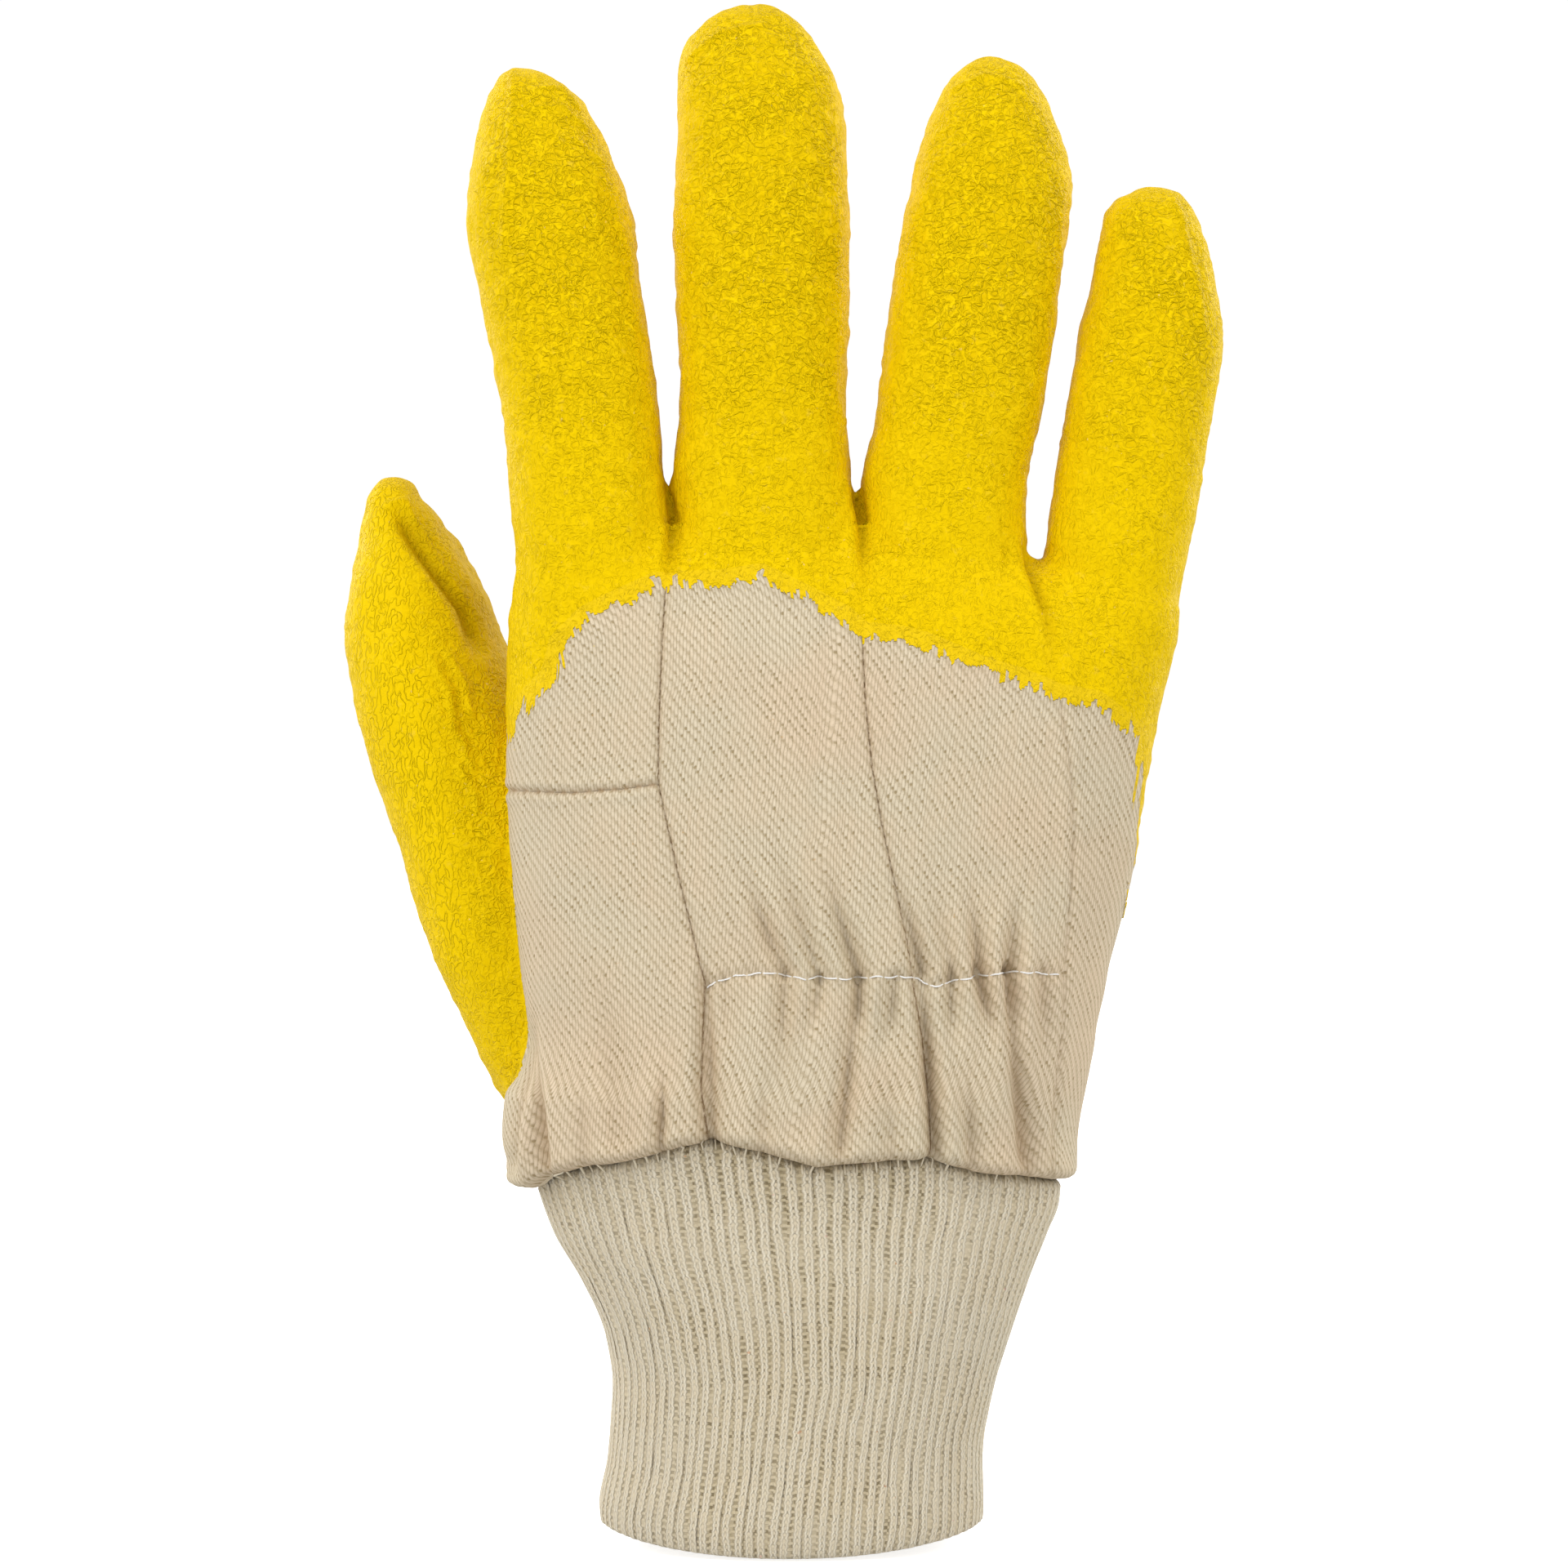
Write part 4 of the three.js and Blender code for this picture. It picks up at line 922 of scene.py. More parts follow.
def skin_piece(node, shape, outer_material, lining_material, slot):
    """One sewn or coated piece: its outer skin, its cut edge and its lining."""
    skin, lining = outer_skin(shape), inner_skin(shape)
    used, faces = gathered(skin, skin.piece == node)
    if not len(used):
        raise RuntimeError(f"no skin was found for {node}")
    points, out = skin.points[used], skin.out[used]
    rim = rim_of(faces)
    edge, rim = np.unique(rim, return_inverse=True)
    rim = rim.reshape(-1, 2)
    count = len(points)
    outside = count + rim
    inside = count + len(edge) + rim
    band = np.concatenate([
        np.stack([outside[:, 1], outside[:, 0], inside[:, 0]], 1),
        np.stack([outside[:, 1], inside[:, 0], inside[:, 1]], 1)])
    inner_edge = points[edge] - shape.wall * 1000 * skin.flat_out[used][edge]
    inner_used, inner_faces = gathered(lining, lining.piece == node)
    total = np.concatenate([points, points[edge], inner_edge, lining.points[inner_used]])
    normals = np.concatenate([out, out[edge], out[edge], -lining.out[inner_used]])
    turned = inner_faces[:, ::-1] + count + 2 * len(edge)
    plain = len(total) - count
    cloth = skin.cloth[used]
    if node == "palm_heel":
        cloth[:, 0] += np.where(cloth[:, 0] < 0, skin.girth[used], 0.0)
    if node in GRAIN:
        angle = math.radians(GRAIN[node])
        turn = np.array([[math.cos(angle), math.sin(angle)], [-math.sin(angle), math.cos(angle)]])
        cloth = cloth @ turn
    cloth = np.concatenate([cloth, np.zeros((plain, 2))])
    values = {key: np.concatenate([column[used], np.zeros(plain)]) for key, column in skin.values.items()}
    piece = mesh_object(
        node + "_skin", total, np.concatenate([faces, band, turned]), (outer_material, lining_material),
        cloth, values, normals, second=len(band) + len(turned))
    settle_in_frame(piece, slot, node)
    return piece


def ring_faces(rows, columns):
    """Four-cornered faces between rows of points that each close on themselves."""
    grid = np.arange(rows * columns).reshape(rows, columns)
    beside = np.roll(grid, -1, axis=1)
    return np.stack([grid[:-1], beside[:-1], beside[1:], grid[1:]], axis=2)


def knit_noise(rib, z, pitch, size, seed):
    """Noise over the knit, with a distance from one rib to the next and a size of its bumps."""
    spots = np.stack([rib.ravel() * pitch, np.zeros(z.size), z.ravel()], axis=1)
    return lattice_noise(spots, size, seed).reshape(z.shape)


def knit_surface(shape):
    """The knit cuff in rows from the top of its inside, round the rim and up its outside.

    Gives the points, the rib and height of each, how much painted shade each takes and the number of the
    first outer row.
    """
    if "cuff" in MADE:
        return MADE["cuff"]
    columns = RIBS * COLUMNS_PER_RIB
    turn = np.linspace(-math.pi, math.pi, CUFF_STEPS_ROUND + 1)
    rings = np.zeros((int(CUFF_HEIGHT) + 2, columns, 2))  # one ring for each millimetre of height
    for z, ring in enumerate(rings):
        x, y, way = section(CUFF, float(z), CUFF_SQUARENESS, turn)
        wanted = np.arange(columns) / columns * way[-1]
        ring[:, 0], ring[:, 1] = np.interp(wanted, way, x), np.interp(wanted, way, y)
    base = rings[HEM_LEVEL]
    hem = np.where(
        base[:, 1] < 0, np.interp(base[:, 0], *CUFF_SEAM_BACK.T), np.interp(base[:, 0], *CUFF_SEAM_PALM.T))
    top = hem + KNIT_TUCK

    # Each row: share of the height, how far it lies inside the outer face, how strongly it is ribbed
    plan = [(share, 1.9, 0.35) for share in np.linspace(0.97, 0.02, 13)]
    plan += [(0.006, 1.45, 0.6), (0.0, 0.95, 0.8), (0.0026, 0.4, 0.95)]
    first = len(plan)
    plan += [(share, 0.0, 1.0) for share in np.linspace(0.6, CUFF_HEIGHT, 104) / CUFF_HEIGHT]
    share, inset, ribbed = (column[:, None] for column in np.array(plan).T)
    z = share * top[None, :] + 1.9 * (base[:, 0] / 33.0) ** 2 * (1 - share) ** 6
    level = np.clip(z, 0, len(rings) - 1.01)
    i = level.astype(int)
    t = (level - i)[..., None]
    column = np.arange(columns)[None, :]
    flat = rings[i, column] * (1 - t) + rings[i + 1, column] * t
    ahead = np.roll(flat, -1, axis=1) - np.roll(flat, 1, axis=1)
    ahead /= np.linalg.norm(ahead, axis=2)[..., None]
    out = np.stack([-ahead[..., 1], ahead[..., 0]], axis=2)
    if (out * flat).sum() < 0:
        out = -out

    rib = np.broadcast_to(column / COLUMNS_PER_RIB, z.shape)
    number = np.floor(rib)
    sway = knit_noise(number, z, 9.1, 7.0, 11)
    thickness = knit_noise(number, z, 9.1, 5.0, 12)
    crest = 0.5 - 0.5 * np.cos(2 * math.pi * (rib - number))
    broad = np.stack([flat[..., 0].ravel(), flat[..., 1].ravel(), z.ravel() * 0.6], axis=1)
    swell = lattice_noise(broad, 12.0, 13).reshape(z.shape)
    below = hem[None, :] - z
    outside = inset == 0
    rise = -inset - shape.rib_height * 1000 * ribbed * (1 - crest ** 0.8) * (1 + 0.25 * thickness)
    rise += ribbed * (0.12 * thickness * crest + 0.22 * swell - 0.2)
    rise -= 0.9 * np.exp(-np.maximum(z, 0) / 1.8)
    rise -= outside * 1.5 * ease(below, 1.2, -0.8)
    lean = 0.3 * sway + 0.6 * knit_noise(rib, z, 0.35, 9.0, 15)
    flat = flat + out * rise[..., None] + ahead * (lean * ribbed)[..., None]
    points = np.concatenate([flat, z[..., None]], axis=2)
    holes = ease(knit_noise(rib, z, 2.3, 1.5, 14), -0.3, 0.5)
    # Painted shade on the knit tucked behind the hem and in a band just below it, blotched along the seam's
    # holes
    dark = outside * np.where(below < 0, 0.95, np.exp(-np.maximum(below, 0) / 0.6) * (0.3 + 0.65 * holes))
    MADE["cuff"] = points, rib, z, dark, first
    return MADE["cuff"]


def outside_tree(shape):
    """Everything that a thread can lie on, for looking up points on it."""
    if "tree" not in MADE:
        skin = outer_skin(shape)
        low = skin.faces[skin.points[skin.faces[:, 0], 2] < THREADS_BELOW]
        points, _, _, _, first = knit_surface(shape)
        outside = points[first:]
        quads = ring_faces(*outside.shape[:2])[-ROWS_AT_HEM:].reshape(-1, 4) + len(skin.points)
        faces = np.concatenate([low, quads[:, [0, 1, 2]], quads[:, [0, 2, 3]]])
        corners = np.concatenate([skin.points, outside.reshape(-1, 3)])
        MADE["tree"] = BVHTree.FromPolygons(corners.tolist(), faces.tolist())
    return MADE["tree"]


def lay_on(shape, x, z, side):
    """Points on the glove's outside at x and z, seen along y from one side, with the directions out of it."""
    tree = outside_tree(shape)
    places, normals = [], []
    for px, pz in zip(x, z):
        place, normal, _, _ = tree.ray_cast((px, 200.0 * side, pz), (0.0, -side, 0.0))
        if place is None:
            raise RuntimeError(f"a thread misses the glove at {px:.1f}, {pz:.1f}")
        normal = normal if normal.y * side > 0 else -normal
        places.append(tuple(place))
        normals.append(tuple(normal))
    return np.array(places), np.array(normals)


def tube(path, radius):
    """Points and faces of a tube with tapered ends along a path."""
    ahead = np.gradient(path, axis=0)
    ahead /= np.maximum(np.linalg.norm(ahead, axis=1), 1e-9)[:, None]
    across = np.cross(ahead, (0.0, 1.0, 0.02))
    across /= np.maximum(np.linalg.norm(across, axis=1), 1e-9)[:, None]
    up = np.cross(across, ahead)
    size = np.broadcast_to(np.asarray(radius, float), (len(path),)).copy()
    size[[0, -1]] *= 0.35
    turn = np.arange(THREAD_SIDES) / THREAD_SIDES * 2 * math.pi
    rings = path[:, None] + size[:, None, None] * (
        across[:, None] * np.cos(turn)[None, :, None] + up[:, None] * np.sin(turn)[None, :, None])
    return rings.reshape(-1, 3), ring_faces(len(path), THREAD_SIDES).reshape(-1, 4)


def threads_object(name, tubes, material):
    """Several tubes as one object, with the length along each thread for its twist."""
    points, faces, lengths, count = [], [], [], 0
    for path, radius in tubes:
        ring_points, quads = tube(path, radius)
        run = np.append(0, np.cumsum(np.linalg.norm(np.diff(path, axis=0), axis=1)))
        turn = np.tile(np.arange(THREAD_SIDES) / THREAD_SIDES, len(path))
        lengths.append(np.stack([turn, np.repeat(run, THREAD_SIDES)], axis=1))
        points.append(ring_points)
        faces.append(quads + count)
        count += len(ring_points)
    return mesh_object(
        name, np.concatenate(points), np.concatenate(faces), (material,), cloth=np.concatenate(lengths))


class Wire:
    """A number or vector inside a material, which can be used in sums."""

    def __init__(self, shader, socket):
        self.shader, self.socket = shader, socket

    def _with(self, operation, *others):
        return self.shader.math(operation, self, *others)

    def __add__(self, other):
        return self._with("ADD", other)

    def __sub__(self, other):
        return self._with("SUBTRACT", other)

    def __rsub__(self, other):
        return self.shader.math("SUBTRACT", other, self)

    def __mul__(self, other):
        return self._with("MULTIPLY", other)

    def __truediv__(self, other):
        return self._with("DIVIDE", other)

    def __pow__(self, other):
        return self._with("POWER", other)

    def __abs__(self):
        return self._with("ABSOLUTE")

    __radd__ = __add__
    __rmul__ = __mul__

    def floor(self):
        return self._with("FLOOR")

    def sin(self):
        return self._with("SINE")

    def sqrt(self):
        return self._with("SQRT")

    def least(self, other):
        """The value, but no less than the other."""
        return self._with("MAXIMUM", other)

    def most(self, other):
        """The value, but no more than the other."""
        return self._with("MINIMUM", other)

    def wave(self):
        """From nought to one and back, once for each whole number."""
        return (self * (2 * math.pi)).sin() * 0.5 + 0.5

    def ridges(self, thin):
        """One where noise crosses its middle, falling to nought on both sides."""
        return (1.0 - (abs(self - 0.5) * thin).most(1.0)).step(0.0, 1.0)

    def step(self, low, high):
        """Nought at low, one at high, and smooth between."""
        return self.shader.step(self, low, high)


class Shader:
    """One material and short ways to make its nodes."""

    def __init__(self, name):
        self.material = bpy.data.materials.new(name)
        self.material.use_nodes = True
        self.tree = self.material.node_tree
        self.tree.nodes.clear()
        output = self.tree.nodes.new("ShaderNodeOutputMaterial")
        self.surface = self.tree.nodes.new("ShaderNodeBsdfPrincipled")
        self.tree.links.new(self.surface.outputs[0], output.inputs[0])

    def put(self, value, socket):
        if isinstance(value, Wire):
            self.tree.links.new(value.socket, socket)
        elif value is not None:
            socket.default_value = value

    def math(self, operation, *inputs):
        node = self.tree.nodes.new("ShaderNodeMath")
        node.operation = operation
        for value, socket in zip(inputs, node.inputs):
            self.put(value, socket)
        return Wire(self, node.outputs[0])

    def step(self, value, low, high):
        node = self.tree.nodes.new("ShaderNodeMapRange")
        node.interpolation_type = "SMOOTHSTEP"
        for item, key in ((value, "Value"), (low, "From Min"), (high, "From Max")):
            self.put(item, node.inputs[key])
        return Wire(self, node.outputs[0])

    def vector(self, x, y, z=0.0):
        node = self.tree.nodes.new("ShaderNodeCombineXYZ")
        for value, socket in zip((x, y, z), node.inputs):
            self.put(value, socket)
        return Wire(self, node.outputs[0])

    def split(self, vector):
        node = self.tree.nodes.new("ShaderNodeSeparateXYZ")
        self.put(vector, node.inputs[0])
        return [Wire(self, socket) for socket in node.outputs]

    def scaled(self, vector, by):
        node = self.tree.nodes.new("ShaderNodeVectorMath")
        node.operation = "SCALE"
        self.put(vector, node.inputs[0])
        node.inputs["Scale"].default_value = by
        return Wire(self, node.outputs[0])

    def moved(self, vector, by):
        node = self.tree.nodes.new("ShaderNodeVectorMath")
        node.operation = "ADD"
        self.put(vector, node.inputs[0])
        self.put(by, node.inputs[1])
        return Wire(self, node.outputs[0])

    def noise(self, vector, scale, detail=1.0, roughness=0.5, distortion=0.0, colour=False):
        node = self.tree.nodes.new("ShaderNodeTexNoise")
        self.put(vector, node.inputs["Vector"])
        for key, value in (
                ("Scale", scale), ("Detail", detail), ("Roughness", roughness), ("Distortion", distortion)):
            node.inputs[key].default_value = value
        return Wire(self, node.outputs[1 if colour else 0])

    def cracks(self, vector, scale):
        """Distance to the borders between random cells."""
        node = self.tree.nodes.new("ShaderNodeTexVoronoi")
        node.feature = "DISTANCE_TO_EDGE"
        self.put(vector, node.inputs["Vector"])
        node.inputs["Scale"].default_value = scale
        return Wire(self, node.outputs["Distance"])

    def chance(self, x, y=0.0):
        """A random number between 0 and 1 for each pair of whole numbers."""
        node = self.tree.nodes.new("ShaderNodeTexWhiteNoise")
        node.noise_dimensions = "2D"
        self.put(self.vector(x, y), node.inputs["Vector"])
        return Wire(self, node.outputs["Value"])

    def value(self, name):
        node = self.tree.nodes.new("ShaderNodeAttribute")
        node.attribute_name = name
        return Wire(self, node.outputs["Fac"])

    def cloth(self):
        """The two cloth coordinates of a piece, in millimetres."""
        node = self.tree.nodes.new("ShaderNodeUVMap")
        node.uv_map = "cloth"
        return self.split(Wire(self, node.outputs[0]))[:2]

    def place(self):
        """Position on the object in millimetres."""
        node = self.tree.nodes.new("ShaderNodeTexCoord")
        return self.scaled(Wire(self, node.outputs["Object"]), 1000.0)

    def blend(self, a, b, share):
        node = self.tree.nodes.new("ShaderNodeMix")
        node.data_type = "RGBA"
        self.put(share, node.inputs[0])
        for value, key in ((a, 6), (b, 7)):
            self.put(value if isinstance(value, Wire) else (*value, 1.0), node.inputs[key])
        return Wire(self, node.outputs[2])

    def finish(self, colour, roughness, height, **fixed):
        """Gives the surface its colour, roughness, height in millimetres and fixed values."""
        bump = self.tree.nodes.new("ShaderNodeBump")
        bump.inputs["Distance"].default_value = 0.001
        bump.inputs["Strength"].default_value = 1.0
        self.put(height, bump.inputs["Height"])
        self.put(colour, self.surface.inputs["Base Color"])
        self.put(roughness, self.surface.inputs["Roughness"])
        self.tree.links.new(bump.outputs[0], self.surface.inputs["Normal"])
        return self.fixed(**fixed)

    def fixed(self, **values):
        """Puts values that are the same all over on the surface's own sockets."""
        for key, value in values.items():
            self.surface.inputs[key.replace("_", " ")].default_value = value
        return self.material


def crinkled_rubber(s, finish):
    """Colour, roughness and height of the rubber: winding wrinkles, arches and upright streaks, with painted
    shade between them.
    """
    at = s.place()
    bent = s.moved(at, s.scaled(s.noise(at, 0.9, 0.0, 0.5, colour=True), 0.9))
    x, y, z = s.split(bent)
    winding = s.cracks(bent, 0.8).step(0.22, 0.0)
    arches = s.noise(s.vector(x * 0.8, y * 0.8, z * 1.1), 0.7, 0.0).ridges(13.0)
    upright = s.noise(s.vector(x * 1.25, y * 1.25, z * 0.5), 1.0, 0.0).ridges(9.0)
    where = s.noise(at, 0.13, 1.0, 0.5)
    wrinkled = s.value("wrinkled")
    strong = wrinkled * (0.35 + where * 1.1)
    calm = (1.0 - wrinkled * 0.7) * (0.5 + where * 0.6)
    crest = (winding * strong * 0.8).least(arches * strong * 1.1).least(upright * calm * 0.8)
    grain = s.noise(at, 3.0, 1.0, 0.5)
    swell = s.noise(at, 0.5, 1.0, 0.5)
    height = crest * 0.33 + swell * 0.2 + grain * 0.03
    # Painted shade: darker between the crests of the wrinkles and in the hollows of the swell
    deep = (1.0 - crest) * (0.11 + wrinkled * 0.43) + swell.step(0.6, 0.35) * 0.1
    colour = s.blend(tuple(finish.latex), tuple(finish.latex_hollow_shade), deep.most(1.0))
    colour = s.blend(colour, tuple(finish.latex_pale), s.noise(at, 0.5, 3.0, 0.65).step(0.6, 0.8) * 0.3)
    fibres = s.noise(at, 1.1, 2.0, 0.7).step(0.70, 0.78) * where.step(0.45, 0.6)
    colour = s.blend(colour, FLUFF, fibres * 0.7)
    return colour, 0.48 + grain * 0.12, height


def cotton_twill(s, finish):
    """Colour, roughness and height of the twill: steep short floats with pits along its diagonals, painted
    shade in the pits and between the yarns and a painted highlight on the floats.
    """
    u, v = s.cloth()
    yarn_size, float_size = finish.yarn * 1000, finish.pick * 1000
    at = s.vector(u, v)
    sway = s.split(s.noise(at, 0.16, 2.0, 0.5, colour=True))
    u, v = u + sway[0] * 1.1, v + sway[1] * 1.1
    yarn = u / yarn_size
    number = yarn.floor()
    across = (yarn - number) * 2.0 - 1.0
    own = s.chance(number, 0.5)
    run = v / float_size + number / 3.0 + own * 0.06
    pick = run.floor()
    t = run - pick
    each = s.chance(number, (run + 0.5).floor())
    tail = (t.most(1.0 - t) * float_size).least(0.0)
    bulge = (t * math.pi).sin().least(0.0) ** 0.35
    side = abs(across)
    round_ = (1.0 - across * across).least(0.0).sqrt()
    hairs = s.noise(s.place(), 3.4, 2.0, 0.6)
    height = round_ * (0.6 + bulge * 0.4) * 0.08 + hairs * 0.05
    reach = ((across - 0.35) ** 2.0 + (tail / (0.27 + each * 0.08)) ** 2.0).sqrt()
    loose = 0.55 + s.noise(s.vector(u, v, 9.0), 0.11, 2.0, 0.5).step(0.36, 0.62) * 0.55
    pit = reach.step(1.15, 0.3) * (0.12 + each * each * 0.9) * loose
    ends = tail.step(0.62, 0.1)
    slope = v / float_size + yarn / 3.0
    furrow = (abs(slope - (slope + 0.5).floor()) * 2.0).step(0.75, 0.0)
    plies = (across + own * 2.0).wave()
    patch = s.noise(s.vector(u, v, 3.0), 0.06, 2.0, 0.5)
    light = s.blend(COTTON_WARM, COTTON_COOL, patch.step(0.4, 0.6))
    light = s.blend(light, tuple(finish.cotton), 0.5)
    # A paler tone for some yarns, and a painted highlight on the crowns of the floats
    light = s.blend(light, COTTON_PALE, own * 0.3 + bulge * each * 0.25)
    pink = s.noise(s.vector(u, v, 7.0), 0.035, 1.0, 0.5).step(0.45, 0.65)
    light = s.blend(light, COTTON_PINK, pink * 0.4)
    # Painted shade in the pits, furrows and float ends, at the yarns' sides, between their plies and in the
    # hollows of the fuzz
    weave_shade = pit * 0.7 + furrow * 0.22 + side ** 3.0 * (0.22 + own * 0.24) + ends * 0.12
    weave_shade = weave_shade + plies * 0.08 + hairs.step(0.5, 0.3) * 0.2
    colour = s.blend(light, tuple(finish.cotton_hollow_shade), weave_shade.most(0.9))
    specks = s.noise(s.vector(u, v, 5.0), 0.9, 2.0, 0.5).step(0.765, 0.80)
    colour = s.blend(colour, SEED_BROWN, specks * 0.6)
    return colour, 0.93, height - pit * 0.07


def rubber_material(finish):
    """The crinkled rubber, with painted shade in its deepest creases."""
    s = Shader("crinkled rubber")
    colour, roughness, height = crinkled_rubber(s, finish)
    # Painted shade in the creases and folds
    colour = s.blend(colour, RUBBER_SHADE, s.value("dark") * 0.6)
    return s.finish(
        colour, roughness, height, Specular_IOR_Level=0.12, Specular_Tint=(1.0, 0.85, 0.1, 1.0))


def twill_material(finish):
    """Cotton twill that takes on rubber above the coating's ragged edge."""
    s = Shader("cotton twill")
    rubber_colour, _, rubber_height = crinkled_rubber(s, finish)
    colour, roughness, height = cotton_twill(s, finish)
    u, v = s.cloth()
    column = (u / 0.49).floor()
    broad = (u / 0.98).floor()
    slope = s.noise(s.vector(u, v * 0.35, 2.0), 0.5, 2.0, 0.6)
    spike = s.chance(broad, 7.0) ** 4.0
    ragged = (slope - 0.5) * 3.0 + s.chance(column, 3.0) * 1.0 + spike * 1.8 - 0.5
    past_edge = s.value("coating") - ragged.most(SMEAR - 0.15)
    coated = past_edge.step(-0.06, 0.06)
    damp = past_edge.step(-1.5, -0.1)
    near_edge = (s.value("coating") + 9.0).step(0.0, 8.0)
    soaked = s.noise(s.vector(u, v, 4.0), 1.3, 1.0, 0.5).step(0.80, 0.83) * near_edge
    colour = s.blend(colour, COTTON_DAMP, damp * 0.18)
    colour = s.blend(colour, SOAKED_YELLOW, soaked * 0.8)
    # Painted shade in the seams, folds, creases and along the hem
    colour = s.blend(colour, COTTON_SHADE, s.value("dark") * 0.85)
    worn = s.noise(s.vector(u * 0.2, v, 8.0), 0.9, 2.0, 0.6)
    seam = (s.value("seam") + worn * 0.3 - 0.15).step(0.26, 0.08) * worn.step(0.3, 0.6)
    dashes = (v * (2 * math.pi / 1.9)).sin().step(-0.5, 0.3)
    above_row = s.split(s.place())[2].step(94.0, 98.0)
    stitched = 1.0 - above_row * (1.0 - dashes) * 0.6
    colour = s.blend(colour, SEAM_HOLE, seam * stitched * 0.85)
    colour = s.blend(colour, rubber_colour, coated)
    height = height * (1.0 - coated) + (rubber_height + 0.28) * coated
    return s.finish(
        colour, 0.93 - coated * 0.37, height, Specular_IOR_Level=0.2, Specular_Tint=(1.0, 0.8, 0.4, 1.0))


def knit_material(finish):
    """One by one rib knit: two strands with a painted highlight and a furrow with painted shade to a rib,
    both worn and uneven.
    """
    s = Shader("rib knit")
    rib, v = s.cloth()
    number = rib.floor()
    own = s.chance(number, 1.5)
    wobble = s.noise(s.vector(number * 5.0, v * 0.3), 1.0, 2.0, 0.6)
    across = (rib - number) * 2.0 - 1.0 + (wobble - 0.5) * 0.8
    side = abs(across)
    rows = v / (finish.stitch * 1000) + own + (wobble - 0.5) * 0.6
    stitch = rows.floor()
    each = s.chance(number, stitch)
    other = s.chance(number + 0.5, stitch)
    beat = rows.wave()
    offbeat = (rows + 0.5).wave()
    x = s.split(s.place())[0]
    at_sides = abs(x - 1.0).step(13.0, 27.0)
    near_hem = v.step(50.0, 62.0)
    patch = s.noise(s.vector(rib * 2.0, v, 1.0), 0.07, 2.0, 0.5)
    # How strong the painted shade of the furrows and pits is: weaker at the cuff's sides, stronger towards
    # the hem and in patches
    spread = (patch.step(0.35, 0.62) * 0.35 + v.step(46.0, 60.0) * 0.3 + 0.55) * (1.0 - at_sides * 0.6)
    fuzz = s.noise(s.place(), 2.6, 3.0, 0.65)
    zigzag = side + (beat - 0.5) * 0.12 + (each - 0.5) * 0.1 + (fuzz - 0.5) * (0.25 + near_hem * 0.35)
    strand = (1.0 - ((zigzag - 0.38) / 0.26) ** 2.0).least(0.0)
    slant = (rows + side * 0.8).wave()
    dot = zigzag.step(0.26, 0.02) * beat.step(0.25, 0.95) * (0.1 + each * 0.8)
    furrow = zigzag.step(0.5, 0.78)
    pits = zigzag.step(0.6, 0.8) * offbeat.step(0.15, 0.75) * (0.15 + other * 0.85)
    height = strand * 0.14 + slant * strand * 0.06 - dot * 0.1 - furrow * 0.14 - pits * 0.12 + fuzz * 0.2
    light = s.blend(tuple(finish.knit), KNIT_WARM, patch.step(0.4, 0.62))
    # Painted highlight on the raised strands
    light = s.blend(light, KNIT_STRAND_HIGHLIGHT, strand * (0.35 + each * 0.45) * (0.65 + slant * 0.35))
    # Painted shade in the furrows, and in the pits and the hollows of the fuzz
    furrow_shade = furrow * (0.8 - fuzz.step(0.4, 0.65) * 0.35) * spread
    deep = pits.least(dot) * (0.35 + spread * 0.75) + fuzz.step(0.42, 0.25) * 0.25
    colour = s.blend(light, KNIT_FURROW_SHADE, furrow_shade.most(1.0))
    colour = s.blend(colour, tuple(finish.knit_pit_shade), deep.most(0.95))
    speck = s.noise(s.vector(rib * 2.0, v, 6.0), 0.6, 2.0, 0.5)
    colour = s.blend(colour, KNIT_RUST, speck.step(0.77, 0.80) * 0.6)
    colour = s.blend(colour, KNIT_ROSE, speck.step(0.235, 0.215) * 0.5)
    # Painted shade under the hem
    colour = s.blend(colour, KNIT_SHADE, s.value("dark") * 0.8)
    return s.finish(
        colour, 0.95, height, Specular_IOR_Level=0.25, Sheen_Weight=0.1, Sheen_Roughness=0.6)


def lining_material(finish):
    """The napped inner side of the cloth."""
    s = Shader("cotton lining")
    nap = s.noise(s.place(), 1.8, 3.0, 0.7)
    # Painted shade in the hollows of the nap
    colour = s.blend(tuple(finish.cotton), tuple(finish.cotton_hollow_shade), nap.step(0.62, 0.3) * 0.35)
    return s.finish(colour, 0.96, nap * 0.12, Specular_IOR_Level=0.2)


def thread_material(name, colour, deep):
    """Sewing thread with a twist along its length, with painted shade between its twists."""
    s = Shader(name)
    turn, run = s.cloth()
    twist = ((turn + run / 0.42) * 2.0).wave()
    # Painted shade in the grooves of the twist
    mixed = s.blend(colour, deep, (1.0 - twist) * 0.4)
    return s.finish(mixed, 0.7, twist * 0.03, Specular_IOR_Level=0.35, Sheen_Weight=0.1)


class GLOVE_OT_coated_pieces(bpy.types.Operator):
    """Make the coated palm, finger backs and thumb"""

    bl_idname = "glove.coated_pieces"
    bl_label = "Coated Pieces"

    def execute(self, context):
        scene = context.scene
        rubber, lining = rubber_material(scene.glove_finish), lining_material(scene.glove_finish)
        MADE["lining material"] = lining
        for node in COATED_PIECES:
            skin_piece(node, scene.glove_shape, rubber, lining, "latex")
        return {"FINISHED"}


class GLOVE_OT_cotton_panels(bpy.types.Operator):
    """Make the five cotton panels of the back and the cotton heel of the palm"""

    bl_idname = "glove.cotton_panels"
    bl_label = "Cotton Panels"

    def execute(self, context):
        scene = context.scene
        twill = twill_material(scene.glove_finish)
        lining = MADE.get("lining material") or lining_material(scene.glove_finish)
        for node in COTTON_PIECES:
            skin_piece(node, scene.glove_shape, twill, lining, "cotton")
        return {"FINISHED"}


